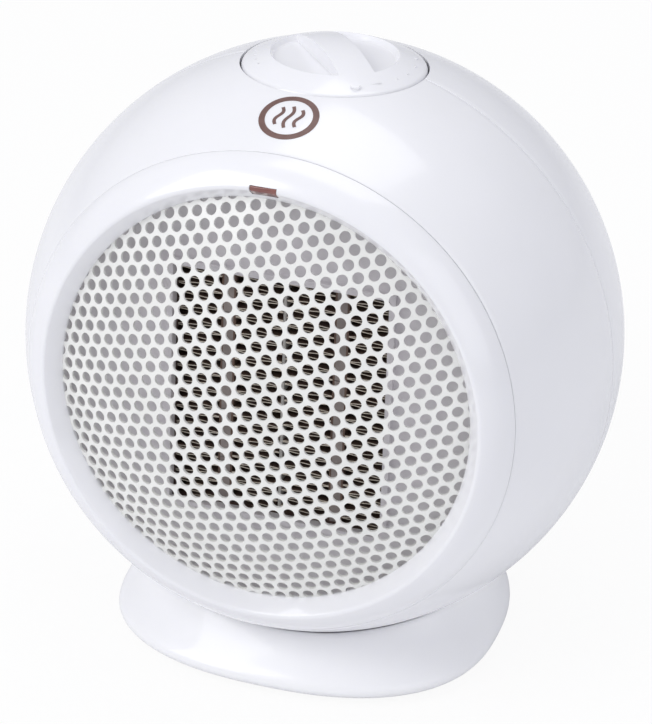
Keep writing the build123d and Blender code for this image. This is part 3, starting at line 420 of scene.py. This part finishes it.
def well_cup(side):
    """Half of the well's wall and floor; side is -1 for the front shell and 1 for the rear one."""
    wall_top = sqrt(ball_r**2 - (well_r + shell) ** 2) - 0.4 * mm
    section = [(0, 0, well_floor), (well_r, 0, well_floor), (well_r, 0, wall_top + 0.3 * mm),
               (well_r + shell, 0, wall_top - 1.2 * mm), (well_r + shell, 0, well_floor - shell),
               (0, 0, well_floor - shell)]
    cup = spun("well_cup", section, axis=(0, 0, 1), steps=128)
    alone(cup)
    bpy.ops.object.mode_set(mode="EDIT")
    bpy.ops.mesh.select_all(action="SELECT")
    bpy.ops.mesh.bisect(plane_co=(0, side * seam_gap / 2, 0), plane_no=(0, side, 0), use_fill=True,
                        clear_inner=True)
    bpy.ops.object.mode_set(mode="OBJECT")
    return clean(cup)


# %% Slot of the tilt clamp, below the ball
def bolt_slot():
    """A cutter wider than the clamp bolt's head, as long as the head's tilt makes it sweep."""
    bolt_low, bolt_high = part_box("tilt_bolt")
    bolt_room, slot_deep, slot_round = 1.2 * mm, 9 * mm, 3 * mm
    half = (bolt_high.x - bolt_low.x) / 2 + bolt_room
    swings = [radians(limit) + tilt for limit in joints["head_tilt"]["range_deg"]]
    sweep_low, sweep_high = ball_r * sin(min(swings)), ball_r * sin(max(swings))
    cutter = block("slot_cutter", (-half, sweep_low - half, -ball_r - mm),
                   (half, sweep_high + half, -ball_r + slot_deep))
    return ease(cutter, slot_round, segments=6, angle=60)


# %% Front housing
front_from = asin(seam_gap / 2 / ball_r)
front_to = asin((seam_d - seam_gap / 2) / ball_r)
inner_r = ball_r - shell
section = arc(ball_r, front_from, front_to, 30) + arc(inner_r, front_to, front_from, 20)
front_shell = spun("front_shell", section + section[:1], steps=224)
ease(front_shell, 0.35 * mm)
boolean(front_shell, well_cutter())
boolean(front_shell, well_cup(-1), "UNION")
boolean(front_shell, bolt_slot())
dress(smooth(stand(front_shell)), "head", "gloss_white", "front_housing")

# %% [markdown]
# ## The back of the ball
# The rear shell has what every such heater has there: rows of inlet slots in three columns,
# four wells for the long housing screws, and the cord's gland low down. The slots are cut by one
# cutter whose bars were copied row by row.

# %% Rear housing: shell with screw tubes
section = arc(ball_r, -front_from, -pi / 2, 60) + arc(inner_r, -pi / 2, -front_from, 36)
rear_shell = spun("rear_shell", section + section[:1], steps=224)
ease(rear_shell, 0.35 * mm, angle=60)
post_at = (ball_r - 18 * mm) * sin(pi / 4)
post_r = 5.0 * mm
well_bore = 3.9 * mm
corner_places = [(sx * post_at, sz * post_at) for sx in (-1, 1) for sz in (-1, 1)]


def joined(name, pieces):
    """Joins pieces into the first one."""
    alone(pieces[0])
    for piece in pieces[1:]:
        piece.select_set(True)
    bpy.ops.object.join()
    return fresh(name)


tubes = joined("tubes", [rod("tube", post_r, -70 * mm, -2 * mm, x, z) for x, z in corner_places])
bpy.ops.object.select_all(action="DESELECT")
bpy.ops.mesh.primitive_uv_sphere_add(segments=96, ring_count=48, radius=ball_r - shell / 2)
boolean(tubes, fresh("trim"), "INTERSECT")
boolean(rear_shell, tubes, "UNION")
boolean(rear_shell, joined("bores", [rod("bore", well_bore, -ball_r, -5 * mm, x, z)
                                     for x, z in corner_places]))
boolean(rear_shell, well_cutter())
boolean(rear_shell, well_cup(1), "UNION")
boolean(rear_shell, bolt_slot())

# %% Inlet slots and the gland's pocket
slot_w = 3.2 * mm
slot_pitch = 7.0 * mm
slot_field = 56.0 * mm
slot_rows = int(slot_field / slot_pitch)
slot_bars = []
for row in range(-slot_rows, slot_rows + 1):
    reach = sqrt(max(slot_field**2 - (row * slot_pitch) ** 2, 0.0))
    part_w = (2 * reach - 2 * slot_w) / 3
    if reach > 3 * slot_w:
        for column in (-1, 0, 1):
            x, z = column * (part_w + slot_w), row * slot_pitch
            slot_bars.append(block("slot", (x - part_w / 2, 80 * mm, z - slot_w / 2),
                                   (x + part_w / 2, 2 * ball_r, z + slot_w / 2)))
slots = ease(joined("slots", slot_bars), 1.2 * mm)
boolean(rear_shell, slots)
gland_drop = -76.0 * mm
boolean(rear_shell, rod("pocket", 6.5 * mm, -ball_r, -78 * mm, 0, gland_drop))
boolean(rear_shell, rod("hole", 4.7 * mm, -80 * mm, -60 * mm, 0, gland_drop))
dress(smooth(stand(rear_shell)), "head", "gloss_white", "rear_housing")

# %% [markdown]
# ## Outlet ring
# The ring sweeps out of the ball, turns over a rounded lip and runs down a shallow funnel to the
# grille. Its section is a handful of points with a real radius at the lip, spun in fine steps
# because its highlight is what the eye follows. The lens of the indicator sits in a notch at the
# top.

# %% Ring section, spun
swell = 1.27 * mm
lip_round = 1.6 * mm
sweep = 16
lip_start, lip_stop, lip_steps = radians(63), radians(135), 8
outer_from = Vector((seam_r, seam_d + seam_gap / 2))
outer_to = Vector((lip_r + lip_round * cos(lip_start), lip_d - lip_round + lip_round * sin(lip_start)))
outer_run = outer_to - outer_from
outward = Vector((outer_run.y, -outer_run.x)).normalized()
outer = []
for k in range(sweep):
    share = k / sweep
    outer.append(rd(*(outer_from + outer_run * share + outward * 4 * share * (1 - share) * swell)))
turn_over = [rd(lip_r + lip_round * cos(a), lip_d - lip_round + lip_round * sin(a))
             for a in [lip_start + (lip_stop - lip_start) * k / lip_steps for k in range(lip_steps + 1)]]
inner_side = [rd(mouth_r + 0.4 * mm, mouth_d + 0.5 * mm), rd(mouth_r, mouth_d), rd(mouth_r, grille_d),
              rd(mouth_r + 5 * mm, grille_d), rd(lip_r - 0.6 * mm, seam_d + 2 * mm),
              rd(seam_r - 3 * mm, seam_d - 6 * mm), rd(seam_r - 1 * mm, seam_d - 6 * mm),
              rd(seam_r - 1 * mm, seam_d + seam_gap / 2)]
ring_line = outer + turn_over + inner_side
ring = spun("outlet_ring", ring_line + ring_line[:1], steps=224)
lens_w = 10.4 * mm
lens_low = mouth_r + 2.4 * mm
lens_high = lip_r + 1.0 * mm
boolean(ring, block("notch", (-lens_w / 2, -lip_d - 4 * mm, lens_low),
                    (lens_w / 2, -grille_d - 0.1 * mm, lens_high)))
dress(smooth(stand(ring), 40), "head", "gloss_white", "front_ring")

# %% Indicator lens: a wedge that follows the lip
lens_fit = 0.15 * mm
wedge = [(0, -grille_d, lens_low + lens_fit), (0, -mouth_d - 3.3 * mm, lens_low + lens_fit),
         (0, -lip_d - 0.2 * mm, lip_r - 0.8 * mm), (0, -lip_d - 0.1 * mm, lens_high - lens_fit),
         (0, -grille_d, lens_high - lens_fit)]
lens = draw("indicator_cover", wedge + wedge[:1])
bpy.ops.object.mode_set(mode="EDIT")
bpy.ops.mesh.select_all(action="SELECT")
bpy.ops.mesh.remove_doubles(threshold=0.01 * mm)
bpy.ops.mesh.edge_face_add()
bpy.ops.mesh.extrude_region_move(TRANSFORM_OT_translate={"value": (lens_w - 2 * lens_fit, 0, 0)})
bpy.ops.mesh.select_all(action="SELECT")
bpy.ops.transform.translate(value=(-lens_w / 2 + lens_fit, 0, 0))
clean(lens)
ease(lens, 0.45 * mm, angle=25)
dress(smooth(stand(lens), 50), "head", "lens_brown", "indicator_lens")

# %% [markdown]
# ## The pierced grille
# The dome is a steel sheet with some seven hundred 4.4 mm holes in a 60 degree pattern. A picture of
# holes would look flat, so the sheet is built from one cell: a hexagon with a round hole in it.
# Two Array modifiers lay the cells in rows, the far ones are deleted, and each point is then
# dropped onto the dome, as a press does it. Past the rim the points are drawn in, so that holes
# are cut off there as they are on the real sheet.

# %% One cell: a hexagon joined to its hole
pitch = 6.0 * mm
hole_r = 2.2 * mm
cell_sides = 18
bpy.ops.object.select_all(action="DESELECT")
bpy.ops.mesh.primitive_circle_add(vertices=6, radius=pitch / sqrt(3), rotation=(0, 0, 0))
grille = fresh("pierced_grille")
bpy.ops.object.mode_set(mode="EDIT")
bpy.ops.mesh.select_all(action="SELECT")
bpy.ops.mesh.subdivide(number_cuts=cell_sides // 6 - 1)
bpy.ops.mesh.primitive_circle_add(vertices=cell_sides, radius=hole_r)
bpy.ops.mesh.select_all(action="SELECT")
bpy.ops.mesh.bridge_edge_loops()
bpy.ops.object.mode_set(mode="OBJECT")
report(grille)

# %% Rows of cells, clipped to the rim
rows, columns = 35, 49
row_step = pitch * sqrt(3) / 2
modify(grille, "ARRAY", count=rows, use_relative_offset=False, use_constant_offset=True,
       constant_offset_displace=(pitch / 2, row_step, 0))
modify(grille, "ARRAY", count=columns, use_relative_offset=False, use_constant_offset=True,
       constant_offset_displace=(pitch, 0, 0))
hole_turn = radians(14.6)
lattice_at = Vector((0.00528, 0.01396)) * ball_r
middle_row, middle_column = rows // 2, columns // 2
cells = grille.data
shift = Vector(((middle_row / 2 + middle_column) * pitch, middle_row * row_step))
edge = bmesh.new()
edge.from_mesh(cells)
for point in edge.verts:
    u, v = point.co.x - shift.x, point.co.y - shift.y
    x = lattice_at.x + u * cos(hole_turn) - v * sin(hole_turn)
    z = lattice_at.y + u * sin(hole_turn) + v * cos(hole_turn)
    point.co = (x, 0, z)
sheet_r = mouth_r + 2.0 * mm
far = [face for face in edge.faces if face.calc_center_median().length > sheet_r + pitch * 0.5]
bmesh.ops.delete(edge, geom=far, context="FACES")
print("cells left", len(edge.faces) // cell_sides)

# %% Press the sheet into a dome
def dome_depth(radius):
    q = (radius / mouth_r) ** 2
    return 0.59 * ball_r + 0.127 * ball_r * (1 - q) + 0.0295 * ball_r * (1 - q * q)


squeeze = 0.037
for point in edge.verts:
    radius = hypot(point.co.x, point.co.z)
    share = radius * (1 - squeeze * (radius / mouth_r) ** 2)
    pressed = min(share, sheet_r)
    factor = pressed / radius if radius else 1.0
    point.co = (point.co.x * factor, -dome_depth(pressed), point.co.z * factor)
bmesh.ops.remove_doubles(edge, verts=edge.verts, dist=0.03 * mm)
edge.to_mesh(cells)
edge.free()
alone(grille)
bpy.ops.object.mode_set(mode="EDIT")
bpy.ops.mesh.select_all(action="SELECT")
bpy.ops.mesh.dissolve_degenerate(threshold=0.02 * mm)
bpy.ops.mesh.select_all(action="SELECT")
bpy.ops.mesh.normals_make_consistent(inside=False)
bpy.ops.object.mode_set(mode="OBJECT")
if grille.data.polygons[0].normal.y > 0:
    bpy.ops.object.mode_set(mode="EDIT")
    bpy.ops.mesh.flip_normals()
    bpy.ops.object.mode_set(mode="OBJECT")
modify(grille, "SOLIDIFY", thickness=1.0 * mm, offset=-1, use_even_offset=False)
dress(smooth(stand(grille), 45), "head", "grille_paint", "grille")

# %% [markdown]
# ## Baffle pan
# Through the holes one sees a pan: flat and pale mauve round the window, with a sloping border
# of nearly the same colour. It is turned in one piece, a raised edge is joined on round the
# window, and the window is cut last. The border then gets a slightly darker copy of the finish,
# face by face, as painted shade.

# %% Pan with its window
window_w = 85.0 * mm
window_h = 97.0 * mm
window_drop = 7.0 * mm
pan_d = grille_d - 16.0 * mm
pan_r = 65.5 * mm
pan_rise = 9.0 * mm
pan_t = 2.0 * mm
tube_in = mouth_r + 0.8 * mm
pan_line = [rd(0, pan_d), rd(pan_r, pan_d), rd(tube_in, pan_d + pan_rise), rd(tube_in, grille_d - mm),
            rd(tube_in + pan_t, grille_d - mm), rd(tube_in + pan_t, pan_d + pan_rise - mm),
            rd(pan_r + mm, pan_d - pan_t), rd(0, pan_d - pan_t)]
pan = spun("baffle_pan", pan_line, steps=128)
edge_w = 2.4 * mm
window_low = Vector((-window_w / 2, -pan_d, -window_drop - window_h / 2))
window_high = Vector((window_w / 2, -pan_d, -window_drop + window_h / 2))
border = Vector((edge_w, edge_w, edge_w))
boolean(pan, block("edge", window_low - border, window_high + Vector((edge_w, pan_t / 2, edge_w))), "UNION")
deep = Vector((0, 4 * edge_w, 0))
boolean(pan, block("window", window_low - deep, window_high + deep))
ease(pan, 0.5 * mm, segments=2, angle=50)
dress(smooth(stand(pan)), "head", "baffle_grey", "outlet_baffle")

# %% Sloping border, in a darker copy of the finish as painted shade
painted_border_shade = plain_finish("pan_border_painted_shade", (0.84, 0.82, 0.84), 0.5, 0.0, 500, 0.1, 0.05)
pan.data.materials.append(painted_border_shade)
upright = head_place.inverted()
# Faces past the flat pan's edge get the darker copy: painted shade on the sloping border.
for face in pan.data.polygons:
    spot = upright @ face.center
    if hypot(spot.x, spot.z) > pan_r:
        face.material_index = 1
print("pan faces", len(pan.data.polygons))

# %% [markdown]
# ## Fins of the ceramic core
# Between the ceramic bars run strips of aluminium, folded to and fro. The construction keeps
# wide folds. Here each strip gets close folds: one fold is drawn as a line, arrayed up the
# column and given the strip's thickness. Its sides are painted dark brown as shade, and the edges
# that face the outlet are painted pale as their lit side.

# %% Folded strips
fin_pitch = 3.4 * mm
stone_w = 4.0 * mm
electrode_t = 0.8 * mm
spacer_t = 1.2 * mm
half_w = (window_w + 3.4 * mm - spacer_t) / 2
fin_w = (half_w - stone_w - 2 * electrode_t) / 2
fin_middles = [side * (spacer_t / 2 + fin_w / 2 + outer_one * (fin_w + stone_w + 2 * electrode_t))
               for side in (-1, 1) for outer_one in (0, 1)]
low_y = min((upright @ point.co).y for point in frame["nodes"]["heater_fins"].data.vertices)
high_y = max((upright @ point.co).y for point in frame["nodes"]["heater_fins"].data.vertices)
strips = []
folds = int((window_h + 3 * mm) / fin_pitch)
for middle in fin_middles:
    left, right_side = middle - fin_w / 2 + 0.25 * mm, middle + fin_w / 2 - 0.25 * mm
    start_z = -window_drop - folds * fin_pitch / 2
    line = [(left, low_y, start_z), (right_side, low_y, start_z + fin_pitch * 0.42),
            (right_side, low_y, start_z + fin_pitch * 0.5), (left, low_y, start_z + fin_pitch * 0.92),
            (left, low_y, start_z + fin_pitch)]
    strip = draw("strip", line)
    modify(strip, "ARRAY", count=folds, use_relative_offset=False, use_constant_offset=True,
           constant_offset_displace=(0, 0, fin_pitch))
    clean(strip)
    bpy.ops.object.mode_set(mode="EDIT")
    bpy.ops.mesh.select_all(action="SELECT")
    bpy.ops.mesh.extrude_region_move(TRANSFORM_OT_translate={"value": (0, high_y - low_y, 0)})
    bpy.ops.object.mode_set(mode="OBJECT")
    strips.append(strip)
fins = joined("folded_fins", strips)
clean(fins)
modify(fins, "SOLIDIFY", thickness=0.45 * mm, offset=0)
dress(smooth(stand(fins), 20), "head", "fin_aluminium", "heater_fins")

# %% Painted light on the fins: pale edges towards the outlet, painted shade on the sides
# The pale copy on faces towards the outlet is painted light; the dark brown left on the other faces is painted
# shade.
painted_lit_fin_edge = plain_finish("fin_painted_lit_edge", (0.86, 0.78, 0.66), 0.5, 0.15, 400, 0.2, 0.12)
fins.data.materials.append(painted_lit_fin_edge)
outlet_way = head_place.to_3x3() @ Vector((0, -1, 0))
for face in fins.data.polygons:
    if face.normal.dot(outlet_way) > 0.9:
        face.material_index = 1
print("bright edges", sum(face.material_index for face in fins.data.polygons))

# %% [markdown]
# ## The control knob
# The knob is a shallow crown with a grip bar left standing between two finger scoops. The crown
# is spun, each scoop is a half disc with leaning walls, and a bevel softens the edges that the
# fingers meet. The marks on its rim are a plain zero, a dash and a row of dots.

# %% Crown of the knob
knob_r = 34.8 * mm
crown_top = ball_r + 3.0 * mm
knob_edge = well_top + 0.2 * mm
knob_base = well_floor + 0.7 * mm
rise = crown_top - knob_edge
crown_r = (knob_r**2 + rise**2) / (2 * rise)
crown = []
for k in range(25):
    r = knob_r * k / 24
    crown.append((r, 0, crown_top - crown_r + sqrt(crown_r**2 - r**2)))
knob_line = crown + [(knob_r, 0, knob_base), (knob_r - 2.4 * mm, 0, knob_base),
                     (knob_r - 2.4 * mm, 0, knob_edge - 6 * mm), (0, 0, knob_edge - 6 * mm)]
knob = spun("turning_knob", knob_line, axis=(0, 0, 1), steps=128)
ease(knob, 1.1 * mm, segments=4, angle=50)
report(knob)

# %% Two finger scoops leave the grip bar
bar_w = 13.0 * mm
bar_turn = radians(-50.5)
scoop_r = 28.0 * mm
scoop_deep = 6.0 * mm


def scoop(side):
    """A half disc with leaning walls, beside the bar; side is -1 or 1."""
    bpy.ops.object.select_all(action="DESELECT")
    bpy.ops.mesh.primitive_circle_add(vertices=96, radius=scoop_r, fill_type="NGON",
                                      location=(0, 0, crown_top + mm))
    cutter = fresh("scoop")
    bpy.ops.object.transform_apply(location=True, rotation=True, scale=True)
    bpy.ops.object.mode_set(mode="EDIT")
    bpy.ops.mesh.select_all(action="SELECT")
    bpy.ops.mesh.bisect(plane_co=(0, side * bar_w / 2, 0), plane_no=(0, side, 0), use_fill=False,
                        clear_inner=True)
    bpy.ops.mesh.select_all(action="SELECT")
    bpy.ops.mesh.extrude_region_move(TRANSFORM_OT_translate={"value": (0, 0, -scoop_deep - mm)})
    bpy.ops.transform.resize(value=(0.80, 0.72, 1.0),
                             center_override=(0, side * (bar_w / 2 + 2.2 * mm), 0))
    bpy.ops.object.mode_set(mode="OBJECT")
    clean(cutter)
    cutter.rotation_euler = (0, 0, bar_turn)
    bpy.ops.object.transform_apply(location=True, rotation=True, scale=True)
    return ease(cutter, 3.2 * mm, segments=8, angle=30)


boolean(knob, scoop(-1))
boolean(knob, scoop(1))
modify(knob, "BEVEL", width=1.2 * mm, segments=4, limit_method="ANGLE", angle_limit=radians(35))
dress(smooth(stand(knob), 38), "knob", "gloss_white", "control_knob")


# %% Plain marks on the knob's rim
def crown_height(x, y):
    return crown_top - crown_r + sqrt(crown_r**2 - x * x - y * y)


def bead(name, x, y, size, long=1.0, turn_by=0.0, flat=0.35):
    """A low raised dot, or a dash when long is more than 1."""
    bpy.ops.object.select_all(action="DESELECT")
    bpy.ops.mesh.primitive_uv_sphere_add(segments=16, ring_count=8, radius=size / 2)
    piece = fresh(name)
    piece.scale = (long, 1, flat)
    piece.rotation_euler = (0, 0, turn_by)
    piece.location = (x, y, crown_height(x, y))
    bpy.ops.object.transform_apply(location=True, rotation=True, scale=True)
    return piece


mark_r = 30.3 * mm
marks = []
bpy.ops.object.select_all(action="DESELECT")
zero_at = radians(-56)
zero_x, zero_y = mark_r * cos(zero_at), mark_r * sin(zero_at)
bpy.ops.mesh.primitive_torus_add(major_radius=1.9 * mm, minor_radius=0.32 * mm, major_segments=32,
                                 minor_segments=8)
zero = fresh("zero")
zero.scale = (0.95, 1.12, 0.7)
zero.rotation_euler = (0, 0, zero_at + pi / 2)
zero.location = (zero_x, zero_y, crown_height(zero_x, zero_y))
bpy.ops.object.transform_apply(location=True, rotation=True, scale=True)
marks.append(zero)
marks.append(bead("dash", 22.35 * mm, -19.8 * mm, 0.8 * mm, long=7.9, turn_by=radians(36)))
for number, angle in enumerate((-21, -8, 8, 25)):
    marks.append(bead("dot", mark_r * cos(radians(angle)), mark_r * sin(radians(angle)),
                      (0.9 + 0.25 * number) * mm))
for angle in (190, 199, 208, 217):
    bar_r = mark_r - mm
    marks.append(bead("bar", bar_r * cos(radians(angle)), bar_r * sin(radians(angle)),
                      0.7 * mm, long=3, turn_by=radians(angle)))
knob_marks = joined("knob_marks", marks)
dress(smooth(stand(knob_marks), 60), "knob", "gloss_white")

# %% [markdown]
# ## The base
# The base is one moulded skirt. An oval collar hugs the ball, and from it the skirt flares out to
# a rounded, squarer rim. A ring of points is extruded level by level, and each new level is
# pushed to its outline. The collar's top then follows the ball, half a millimetre off it.

# %% Levels of the skirt
base_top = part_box("base_shell")[1].z
foot_half, foot_front, foot_rear, foot_mid = 76.7 * mm, 59.2 * mm, 77.6 * mm, 15.8 * mm
collar_half, collar_reach = 69.6 * mm, 57.5 * mm
foot_power = 2.4
rim_up = 6.3 * mm
around = 96


def outline(height, spread, inset=0.0):
    """Points of one level; spread runs from 0 at the collar to 1 at the rim."""
    points = []
    power = 2 / (2 + (foot_power - 2) * spread)
    for step in range(around):
        angle = 2 * pi * step / around
        across = abs(cos(angle)) ** power * (1 if cos(angle) >= 0 else -1)
        along = abs(sin(angle)) ** power * (1 if sin(angle) >= 0 else -1)
        width = collar_half + (foot_half - collar_half) * spread - inset
        depth_here = foot_rear if along > 0 else foot_front
        depth = collar_reach + (depth_here - collar_reach) * spread - inset
        points.append(Vector((across * width, ball_centre.y - foot_mid * spread + along * depth, height)))
    return points


plate_up = 1.4 * mm
levels = [(plate_up, 1.0, 8.0 * mm), (plate_up, 1.0, 6.0 * mm), (2.2 * mm, 1.0, 4.0 * mm),
          (3.6 * mm, 1.0, 1.9 * mm), (5.0 * mm, 1.0, 0.6 * mm), (rim_up, 1.0, 0.0), (7.6 * mm, 0.985, 0.0),
          (9.2 * mm, 0.93, 0.0), (11.4 * mm, 0.79, 0.0), (14.0 * mm, 0.61, 0.0),
          (17.0 * mm, 0.42, 0.0), (20.0 * mm, 0.26, 0.0), (23.0 * mm, 0.14, 0.0),
          (26.0 * mm, 0.06, 0.0), (29.0 * mm, 0.015, 0.0), (31.6 * mm, 0.0, 0.0)]
print("levels", len(levels), "top", round(base_top, 4))

# %% Extrude the skirt level by level
cup_r = ball_r + 0.5 * mm
bpy.ops.object.select_all(action="DESELECT")
bpy.ops.mesh.primitive_circle_add(vertices=around, radius=foot_half)
skirt = fresh("base_skirt")
bpy.ops.object.mode_set(mode="EDIT")


def push(points):
    """Moves the selected ring, in order of its angle, to the points."""
    mesh = bmesh.from_edit_mesh(skirt.data)
    ring_now = [point for point in mesh.verts if point.select]
    centre = sum((point.co for point in ring_now), Vector()) / len(ring_now)
    ring_now.sort(key=lambda point: atan2(point.co.y - centre.y, point.co.x - centre.x) % (2 * pi - 1e-4))
    for point, place in zip(ring_now, points):
        point.co = place
    bmesh.update_edit_mesh(skirt.data)


def kept_off_ball(point):
    """Drops a point that would be inside the ball's cup down to the cup's wall."""
    level = point - ball_centre
    across = hypot(level.x, level.y)
    limit = ball_centre.z - sqrt(cup_r**2 - across**2) if across < cup_r else point.z
    return Vector((point.x, point.y, min(point.z, limit)))


for number, (height, spread, inset) in enumerate(levels):
    if number:
        bpy.ops.mesh.extrude_region_move(TRANSFORM_OT_translate={"value": (0, 0, 0)})
    push([kept_off_ball(point) for point in outline(height, spread, inset)])
for share in (0.97, 0.93, 0.88, 0.80):
    bpy.ops.mesh.extrude_region_move(TRANSFORM_OT_translate={"value": (0, 0, 0)})
    cup = []
    for point in outline(base_top, 0.0):
        flat = Vector((point.x * share, ball_centre.y + (point.y - ball_centre.y) * share, 0))
        across = hypot(flat.x, flat.y - ball_centre.y)
        cup.append(Vector((flat.x, flat.y, ball_centre.z - sqrt(cup_r**2 - across**2))))
    push(cup)
bpy.ops.object.mode_set(mode="OBJECT")
clean(skirt)
modify(skirt, "SUBSURF", levels=1, render_levels=1)
dress(smooth(skirt, 50), "base", "base_white", "base_shell")

# %% [markdown]
# ## A printed mark above the outlet
# The real heater has a printed sign there. This one gets a neutral mark of like size and colour:
# a brown ring round three rising waves of warm air. It is a skin of ink, so it is drawn flat,
# cut fine and dropped onto the ball a twentieth of a millimetre proud.

# %% Brown ink
brown_ink, ink_surface = shader("brown_ink", (0.165, 0.09, 0.078), 0.35)
grain(brown_ink, ink_surface, 1500, 0.2, depth=0.02 * mm)
ramp_between(brown_ink, ink_surface.inputs["Base Color"], noise(brown_ink, 300),
             (0.15, 0.08, 0.07), (0.18, 0.10, 0.087))

# %% Ring and waves, dropped onto the ball
mark_centre = Vector((-0.004, -0.413, 0.911)).normalized()
mark_up = (Vector((0, 0, 1)) - mark_centre * mark_centre.z).normalized()
mark_side = mark_up.cross(mark_centre)
mark_outer = 0.0975 * ball_r
mark_line = 0.0205 * ball_r


def band(name, middles, width):
    """A flat band of ink along a line of points; each point gets a left and a right edge."""
    points = []
    for k, here in enumerate(middles):
        before, after = middles[max(k - 1, 0)], middles[min(k + 1, len(middles) - 1)]
        along = (after - before).normalized()
        side_step = Vector((-along.y, along.x)) * width / 2
        points.append((here - side_step, here + side_step))
    piece = draw(name, [(*pair[0], 0) for pair in points])
    bpy.ops.object.mode_set(mode="EDIT")
    bpy.ops.mesh.select_all(action="SELECT")
    bpy.ops.mesh.extrude_region_move(TRANSFORM_OT_translate={"value": (0, 0, 0)})
    mesh = bmesh.from_edit_mesh(piece.data)
    moved = [point for point in mesh.verts if point.select]
    for point in moved:
        nearest = min(points, key=lambda pair: (Vector((*pair[0], 0)) - point.co).length)
        point.co = (*nearest[1], 0)
    bmesh.update_edit_mesh(piece.data)
    bpy.ops.object.mode_set(mode="OBJECT")
    return piece


circle_steps = 96
ring_middles = [Vector((cos(2 * pi * k / circle_steps), sin(2 * pi * k / circle_steps)))
                * (mark_outer - mark_line / 2) for k in range(circle_steps + 1)]
inks = [band("ink_ring", ring_middles, mark_line)]
for column in (-1, 0, 1):
    wave_half = mark_outer * (0.50 if column == 0 else 0.40)
    wave = []
    for k in range(33):
        share = k / 32 * 2 - 1
        sideways = column * mark_outer * 0.34 + sin(share * pi) * mark_outer * 0.085
        wave.append(Vector((sideways, share * wave_half)))
    inks.append(band("ink_wave", wave, mark_line * 0.55))
ink_mark = joined("warm_air_mark", inks)
clean(ink_mark, near=0.005 * mm)
for point in ink_mark.data.vertices:
    spot = mark_centre * ball_r + mark_side * point.co.x + mark_up * point.co.y
    point.co = spot.normalized() * (ball_r + 0.06 * mm)
modify(ink_mark, "SOLIDIFY", thickness=0.05 * mm, offset=0)
clean(ink_mark, near=0.001 * mm)
ink_mark.data.materials.clear()
ink_mark.data.materials.append(brown_ink)
stand(smooth(ink_mark, 60))
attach(ink_mark, "head")
report(ink_mark)

# %% [markdown]
# ## Floor, world and lamps
# The photo is a cut-out on white. The floor is near white with a soft shadow, and the world is
# white only for the camera, so that the ball isn't lit by more than the lamps give. A large soft
# lamp from the upper left front models the ball, a weaker one fills, and a third lights the knob
# from above.

# %% White floor
bpy.ops.object.select_all(action="DESELECT")
bpy.ops.mesh.primitive_plane_add(size=30)
floor = fresh("floor")
floor_white, floor_surface = shader("floor_white", (0.9, 0.9, 0.9), 0.9)
floor_nodes, floor_links = floor_white.node_tree.nodes, floor_white.node_tree.links
light_path = floor_nodes.new("ShaderNodeLightPath")
glow = floor_nodes.new("ShaderNodeEmission")
glow.inputs["Color"].default_value = (1, 1, 1, 1)
mixer = floor_nodes.new("ShaderNodeMixShader")
share_seen = floor_nodes.new("ShaderNodeMath")
share_seen.operation = "MULTIPLY"
share_seen.inputs[1].default_value = 0.92
floor_links.new(light_path.outputs["Is Camera Ray"], share_seen.inputs[0])
floor_links.new(share_seen.outputs["Value"], mixer.inputs["Fac"])
floor_links.new(floor_surface.outputs["BSDF"], mixer.inputs[1])
floor_links.new(glow.outputs["Emission"], mixer.inputs[2])
floor_links.new(mixer.outputs["Shader"], floor_nodes["Material Output"].inputs["Surface"])
floor.data.materials.append(floor_white)

# %% World
world = bpy.data.worlds.new("studio")
bpy.context.scene.world = world
world.use_nodes = True
world_nodes, world_links = world.node_tree.nodes, world.node_tree.links
room = world_nodes["Background"]
room.inputs["Color"].default_value = (0.86, 0.87, 0.93, 1)
room.inputs["Strength"].default_value = 0.62
seen = world_nodes.new("ShaderNodeBackground")
seen.inputs["Color"].default_value = (1, 1, 1, 1)
seen.inputs["Strength"].default_value = 1.0
world_path = world_nodes.new("ShaderNodeLightPath")
world_mix = world_nodes.new("ShaderNodeMixShader")
world_links.new(world_path.outputs["Is Camera Ray"], world_mix.inputs["Fac"])
world_links.new(room.outputs["Background"], world_mix.inputs[1])
world_links.new(seen.outputs["Background"], world_mix.inputs[2])
world_links.new(world_mix.outputs["Shader"], world_nodes["World Output"].inputs["Surface"])


# %% Lamps
def lamp(name, place, size, power, colour=(1, 1, 1)):
    data = bpy.data.lights.new(name, "AREA")
    data.size = size
    data.energy = power
    data.color = colour
    light = bpy.data.objects.new(name, data)
    bpy.context.scene.collection.objects.link(light)
    aim = ball_centre - Vector(place)
    light.matrix_world = Matrix.Translation(place) @ aim.to_track_quat("-Z", "Y").to_matrix().to_4x4()
    return light


lamp("key", (-1.1, -1.3, 1.5), 1.2, 18.0)
lamp("fill", (1.5, -0.9, 0.9), 1.4, 5.0, (0.95, 0.96, 1.0))
lamp("top", (0.1, 0.3, 1.9), 1.2, 8.0)

# %% Colour handling
bpy.context.scene.view_settings.view_transform = "Standard"
